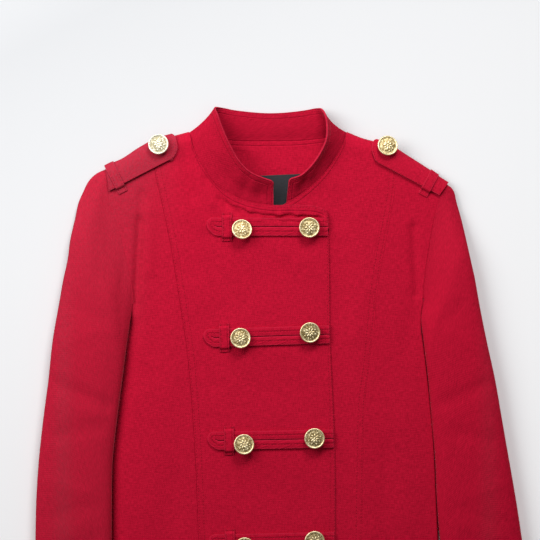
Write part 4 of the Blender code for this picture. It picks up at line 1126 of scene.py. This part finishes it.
for number, spec in enumerate(FROGS, start=1):
    tape, *placing = tape_points(spec)
    rows_tape = [line_in(tape, "bottom", TAPE_WIDTH / 2)]
    rows_tape += [line_in(tape, side, 5.0) for side in ("left", "right")]
    piece(f"frog_{number}", tape, TAPE_WALL, (10, 290), ["front_right"], raised(rows_tape, TAPE_WALL), offset=1,
          sewn=("bottom",), worn=ALL_SIDES, soft_edge=0.45, first_row=TAPE_WIDTH / 2)
    loop = keeper_points(spec, *placing)
    rows_loop = [line_in(loop, side, STITCH_ROWS[0]) for side in ("bottom", "top")]
    rows_loop += [line_in(loop, side, 2.0) for side in ("left", "right")]
    piece(f"frog_keeper_{number}", loop, KEEPER_WALL, (KEEPER_WIDTH, 36), ["front_right", f"frog_{number}"],
          raised(rows_loop, KEEPER_WALL), f"stitches_keeper_{number}", offset=1, flip=True,
          sewn=("bottom", "top"), worn=("bottom", "top"), soft_edge=0.35)

# %% [markdown]
# ## Shoulder straps
# An epaulette is a doubled strap, sewn into the sleeve seam at one end and buttoned at its shaped inner end. A
# narrow loop crosses it. Both bend over the shoulder's roll, so they are laid on the body's surface too.

# %% Straps and their loops
Strap = namedtuple("Strap", "side shoulder sleeve_end inner_end outer_slant inner_slant corner keeper_at fade")
# The fade of a strap is its share of fading and painted sheen.
STRAPS = (
    Strap("right", SHOULDER_RIGHT, (-194.0, 483.5), (-112.0, 525.8), 9.5, 6.0, 12.0, 15.0, 0.38),
    Strap("left", SHOULDER_LEFT, (187.5, 478.8), (106.0, 521.8), -2.5, 6.0, 13.0, 18.0, 0.02),
)
STRAP_STEPS = np.array([0.4, 0.65, 0.9, 1.5, 2.4, 3.6, 5.5, 7.5, 10, 12.5, 15, 18, 21, 24, 27, 30])
STRAP_EDGE = np.array([0.99, 0.97, 0.92])  # shares of the width, close to the lower edge
STRAP_SECTIONS = 90
STRAP_WALL, STRAP_LIFT = 2.4, 1.0
TOP_CORNER = 6.0  # the strap's inner end is rounded towards the shoulder line too
KEEPER_OVER, KEEPER_DOWN, KEEPER_REACH = 0.8, 3.0, 9


def on_strap(spec, s, inward, lift):
    """Points placed by s, and by how far in from the shoulder line they lie, moved out by lift."""
    start, end = np.array(spec.sleeve_end), np.array(spec.inner_end)
    ahead = (end - start) / np.linalg.norm(end - start)
    outward = np.array([-ahead[1], ahead[0]]) * np.sign(ahead[0])
    line = smooth(spec.shoulder) - start
    order = np.argsort(line @ ahead)
    width = np.interp(s, (line @ ahead)[order], (line @ outward)[order])
    t = width - inward
    plan = start + s[..., None] * ahead + t[..., None] * outward
    return moved_out(plan[..., 0], plan[..., 1], lift), t, width


def strap_inward(width):
    """Distances in from the shoulder line for every section: over the roll, then on to the lower edge."""
    steps = STRAP_STEPS[STRAP_STEPS < 0.88 * width.min()]
    fixed = np.broadcast_to(steps, (len(width), len(steps)))
    return np.concatenate([fixed, width[:, :1] * STRAP_EDGE[::-1], width[:, :1]], axis=1)


def strap_points(spec):
    length = math.dist(spec.sleeve_end, spec.inner_end)
    shares = stations(length, (0, 0.6, 1.5), (0, 0.5, 1.2), STRAP_SECTIONS)[:, None]
    s = length * shares
    width = on_strap(spec, s, 0 * s, 0)[2]
    inward = strap_inward(width)
    s = s + 0 * inward
    for _ in range(3):  # the width changes with s, and the ends change with the width
        width = on_strap(spec, s, 0 * s, 0)[2]
        inward = strap_inward(width[:, -1:])
        t = np.clip(width - inward, 0, None)
        low = np.clip(1 - t / spec.corner, 0, 1)
        high = np.clip(1 - inward / TOP_CORNER, 0, 1)
        start = 1 + spec.outer_slant * t / width
        end = length + spec.inner_slant * t / width - spec.corner * (1 - np.sqrt(1 - low**2))
        end = end - TOP_CORNER * (1 - np.sqrt(1 - high**2))
        s = start + (end - start) * shares
    return on_strap(spec, s, inward, STRAP_LIFT)[0]


def strap_loop_points(spec):
    over = STRAP_LIFT + STRAP_WALL + 0.3
    s = spec.keeper_at + (narrow(KEEPER_WIDTH)[:, None] - 0.5) * KEEPER_WIDTH
    width = on_strap(spec, s, 0 * s, 0)[2]
    below = np.linspace(0, KEEPER_REACH, 13)
    inward = np.concatenate([strap_inward(width)[:, :-1], width + below], axis=1)
    lift = over - (over - TAPE_LIFT) * ease(KEEPER_OVER, KEEPER_DOWN, inward - width)
    return on_strap(spec, s + 0 * inward, inward, lift)[0]


for spec in STRAPS:
    shared = dict(offset=1, flip=spec.side == "left", faded=spec.fade)
    strap = strap_points(spec)
    rows_strap = [line_in(strap, side, STITCH_ROWS[0]) for side in ("right", "top")]
    piece(f"epaulette_{spec.side}", strap, STRAP_WALL, (46, 104), [f"side_front_{spec.side}"],
          raised(rows_strap, STRAP_WALL), worn=("right", "top"), soft_edge=0.5, **shared)
    loop = strap_loop_points(spec)
    rows_loop = [line_in(loop, side, STITCH_ROWS[0]) for side in ("bottom", "top")]
    piece(f"epaulette_keeper_{spec.side}", loop, KEEPER_WALL, (KEEPER_WIDTH, 46), [f"epaulette_{spec.side}"],
          raised(rows_loop, KEEPER_WALL), f"stitches_strap_loop_{spec.side}", worn=("bottom", "top"),
          soft_edge=0.35, **shared)

# %% [markdown]
# ## Metal buttons
# The buttons are die-struck brass with an antique finish: plating over the raised parts, and a dark wash that
# stays in the hollows. Each one is a profile spun about its axis, with a rim, a ring of small beads and a plain
# rosette of leaves raised on its face. The rosette is a generic ornament.

# %% The finishes of the brass
def brass(name, light, dark, roughness, hollows):
    """Metal with a blotched wash. Hollows is the share of the dark colour that stays."""
    metal = Finish(name, roughness, metallic=1.0)
    wash = metal.noise(metal.add("TexCoord")["Object"], 420.0, 2.0, 0.6)
    share = metal.ranged(wash, 0.5 - hollows / 2, 0.75 - hollows / 3)
    metal.feed("Base Color", metal.mix(share, linear(dark), linear(light)))
    metal.bump(wash, 0.10 * MM)
    return metal.material


STRUCK = [brass("struck_antique_brass", "#f4eac8", "#d2bf90", 0.48, 0.18),
          brass("washed_brass_ground", "#dccda0", "#7e6a42", 0.52, 0.10)]
PAINTED_REFLECTION_BRASS = [brass("painted_reflection_brass", "#f8f5ea", "#dcd6c0", 0.55, 0.2),  # one button's brass is painted almost white, a painted reflection
          brass("painted_reflection_brass_ground", "#e2dbc6", "#8e8668", 0.55, 0.05)]

# %% One button, copied to ten places
Ring = namedtuple("Ring", "radius z")
PROFILE = (
    Ring(0, 0), Ring(3.0, 0), Ring(3.0, 0.5), Ring(2.5, 0.9), Ring(2.5, 3.4), Ring(3.4, 3.75), Ring(9.2, 3.95),
    Ring(11.0, 4.5), Ring(11.7, 5.0), Ring(11.8, 5.5), Ring(11.65, 6.1), Ring(11.25, 6.55), Ring(10.8, 6.68),
    Ring(10.35, 6.55), Ring(10.05, 6.2), Ring(9.8, 6.05), Ring(8.0, 6.35), Ring(6.0, 6.62), Ring(4.0, 6.8),
    Ring(2.0, 6.9), Ring(0, 6.92),
)
GROUND_RADIUS, GROUND_Z = 9.9, 6  # faces within this radius and above this height are the ground
BUTTON_STEPS = 56
Motif = namedtuple("Motif", "count radius z long wide high detail offset")
MOTIFS = (
    Motif(30, 9.1, 6.25, 0.44, 0.44, 0.36, 1, 0.0),  # ring of beads
    Motif(8, 3.5, 6.82, 2.1, 1.0, 0.50, 2, 0.0),  # leaves of the rosette
    Motif(8, 6.6, 6.52, 1.35, 0.62, 0.42, 2, 0.5),  # smaller leaves between them
    Motif(8, 7.0, 6.45, 0.42, 0.42, 0.34, 1, 0.0),
)
BOSS = Motif(1, 0.0, 6.95, 1.35, 1.35, 0.55, 2, 0.0)


def button_mesh():
    bm = bmesh.new()
    verts = [bm.verts.new((ring.radius, 0, ring.z)) for ring in PROFILE]
    edges = [bm.edges.new(pair) for pair in zip(verts, verts[1:])]
    bmesh.ops.spin(bm, geom=verts + edges, cent=(0, 0, 0), axis=(0, 0, 1), angle=2 * math.pi,
                   steps=BUTTON_STEPS, use_merge=True)
    bmesh.ops.remove_doubles(bm, verts=bm.verts, dist=1e-4)
    bmesh.ops.recalc_face_normals(bm, faces=bm.faces)
    for face in bm.faces:
        middle = face.calc_center_median()
        face.material_index = int(middle.z > GROUND_Z and middle.xy.length < GROUND_RADIUS)
    for motif in MOTIFS + (BOSS,):
        for number in range(motif.count):
            angle = 2 * math.pi * (number + motif.offset) / motif.count
            turn = Matrix.Rotation(angle, 4, "Z") @ Matrix.Translation((motif.radius, 0, motif.z))
            shape = Matrix.Diagonal((motif.long, motif.wide, motif.high, 1))
            bmesh.ops.create_icosphere(bm, subdivisions=motif.detail, radius=1, matrix=turn @ shape)
    return bm


Button = namedtuple("Button", "name x y lift lean toward spin")
OVER_TAPE, OVER_STRAP = 0.5, 0.6  # room below a button's foot
ON_TAPE = 0.6 + 1.8 + OVER_TAPE  # the gap and thickness that the layer below has in the frame come first
ON_STRAP = 1.0 + 2.2 + OVER_STRAP
SHANK_RADIUS = 3.2
BUTTONS = (
    Button("button_1_right", -41.0, 438.5, ON_TAPE, 18, 60, 12),
    Button("button_1_left", 37.0, 441.5, ON_TAPE, 5, 80, 3),
    Button("button_2_right", -42.5, 314.5, ON_TAPE, 11, 50, 31),
    Button("button_2_left", 37.5, 321.5, ON_TAPE, 4, 20, 8),
    Button("button_3_right", -38.5, 192.5, ON_TAPE, 13, 55, 20),
    Button("button_3_left", 43.0, 200.0, ON_TAPE, 3, 90, 40),
    Button("button_4_right", -37.5, 74.5, ON_TAPE, 8, 60, 5),
    Button("button_4_left", 43.0, 82.0, ON_TAPE, 4, 60, 27),
    Button("epaulette_button_right", -135.0, 535.5, ON_STRAP, 8, 118, 15),
    Button("epaulette_button_left", 125.0, 532.5, ON_STRAP, 16, 60, 35),
)
for spec in BUTTONS:
    bm = button_mesh()
    sunk = SHANK_RADIUS * math.sin(math.radians(spec.lean))
    foot = placed(moved_out(spec.x, spec.y, spec.lift + sunk))
    toward = math.radians(spec.toward)
    lean_axis = Vector((-math.sin(toward), math.cos(toward), 0))
    turn = Matrix.Rotation(math.radians(spec.lean), 4, lean_axis)
    turn = turn @ Matrix.Rotation(math.radians(spec.spin), 4, "Z")
    bmesh.ops.transform(bm, matrix=Matrix.Translation(foot) @ turn @ Matrix.Scale(MM, 4), verts=bm.verts)
    # the right strap's button gets the pale brass, a painted reflection
    faces = PAINTED_REFLECTION_BRASS if spec.name == "epaulette_button_right" else STRUCK
    finished(f"{spec.name}_brass", bm, faces, spec.name)
print("buttons:", len(BUTTONS), "of", round(2 * max(ring.radius for ring in PROFILE), 1), "mm")

# %% [markdown]
# ## Table, light and camera
# The table is a plain pale board. Two wide soft lamps light it: the key lamp stands beyond the collar, a little
# to the right, and a larger and weaker one at the upper left, so the light falls off towards the hem and to
# the right and the shadows stay soft. The board is paler towards the hem and the right, which keeps it even
# under those lamps. The camera looks straight down from 3 m through a long lens, so there is almost no
# perspective.

# %% The table
FLOOR_DROP = -0.2 * MM  # just below the underside of the cloth


def pale_board():
    board = Finish("matt_white_board", 0.9)
    toward_lamps = board.add("VectorMath", [(0, board.add("TexCoord")["Object"]), (1, (-0.464, 0.886, 0))],
                             operation="DOT_PRODUCT")["Value"]
    share = board.ranged(toward_lamps, -0.24, 0.5)
    board.feed("Base Color", board.mix(share, linear("#f9f9fa"), linear("#b3b4b6")))
    return board.material


bm = bmesh.new()
bmesh.ops.create_grid(bm, x_segments=1, y_segments=1, size=3.0)
bmesh.ops.translate(bm, verts=bm.verts, vec=(0, 0, FLOOR_DROP))
in_scene("table_board", mesh_of("table_board", bm, [pale_board()]))


# %% The lamps and the light of the room
def lamp(name, place, aim, size, power):
    light = bpy.data.lights.new(name, "AREA")
    light.shape = "DISK"
    light.size = size
    light.energy = power
    made = in_scene(name, light)
    made.location = place
    made.rotation_euler = (Vector(aim) - Vector(place)).to_track_quat("-Z", "Y").to_euler()


lamp("key_lamp", (0.2, 1.25, 1.0), (0.0, 0.15, 0), 0.6, 18.2)
lamp("side_lamp", (-0.75, 0.65, 0.75), (-0.1, 0.2, 0), 0.9, 12.9)
world = bpy.data.worlds.new("soft_room")
bpy.context.scene.world = world
world.use_nodes = True
world.node_tree.nodes["Background"].inputs["Color"].default_value = (1.0, 1.0, 1.0, 1.0)
world.node_tree.nodes["Background"].inputs["Strength"].default_value = 0.245
bpy.context.scene.view_settings.view_transform = "Standard"

# %% The camera, straight above
FRAME_WIDTH = 0.621
CENTRE = placed((-8.05, 393.3, 0))
CAMERA_HEIGHT = 3.0
CLOTH_HEIGHT = 0.012  # the frame's width is right at this height
LENS = 85
camera_data = bpy.data.cameras.new("overhead_camera")
camera_data.lens = LENS
camera_data.sensor_width = LENS * FRAME_WIDTH / (CAMERA_HEIGHT - CLOTH_HEIGHT)
camera_data.clip_end = 20
camera = in_scene("overhead_camera", camera_data)
camera.location = (CENTRE[0], CENTRE[1], CAMERA_HEIGHT)
bpy.context.scene.camera = camera
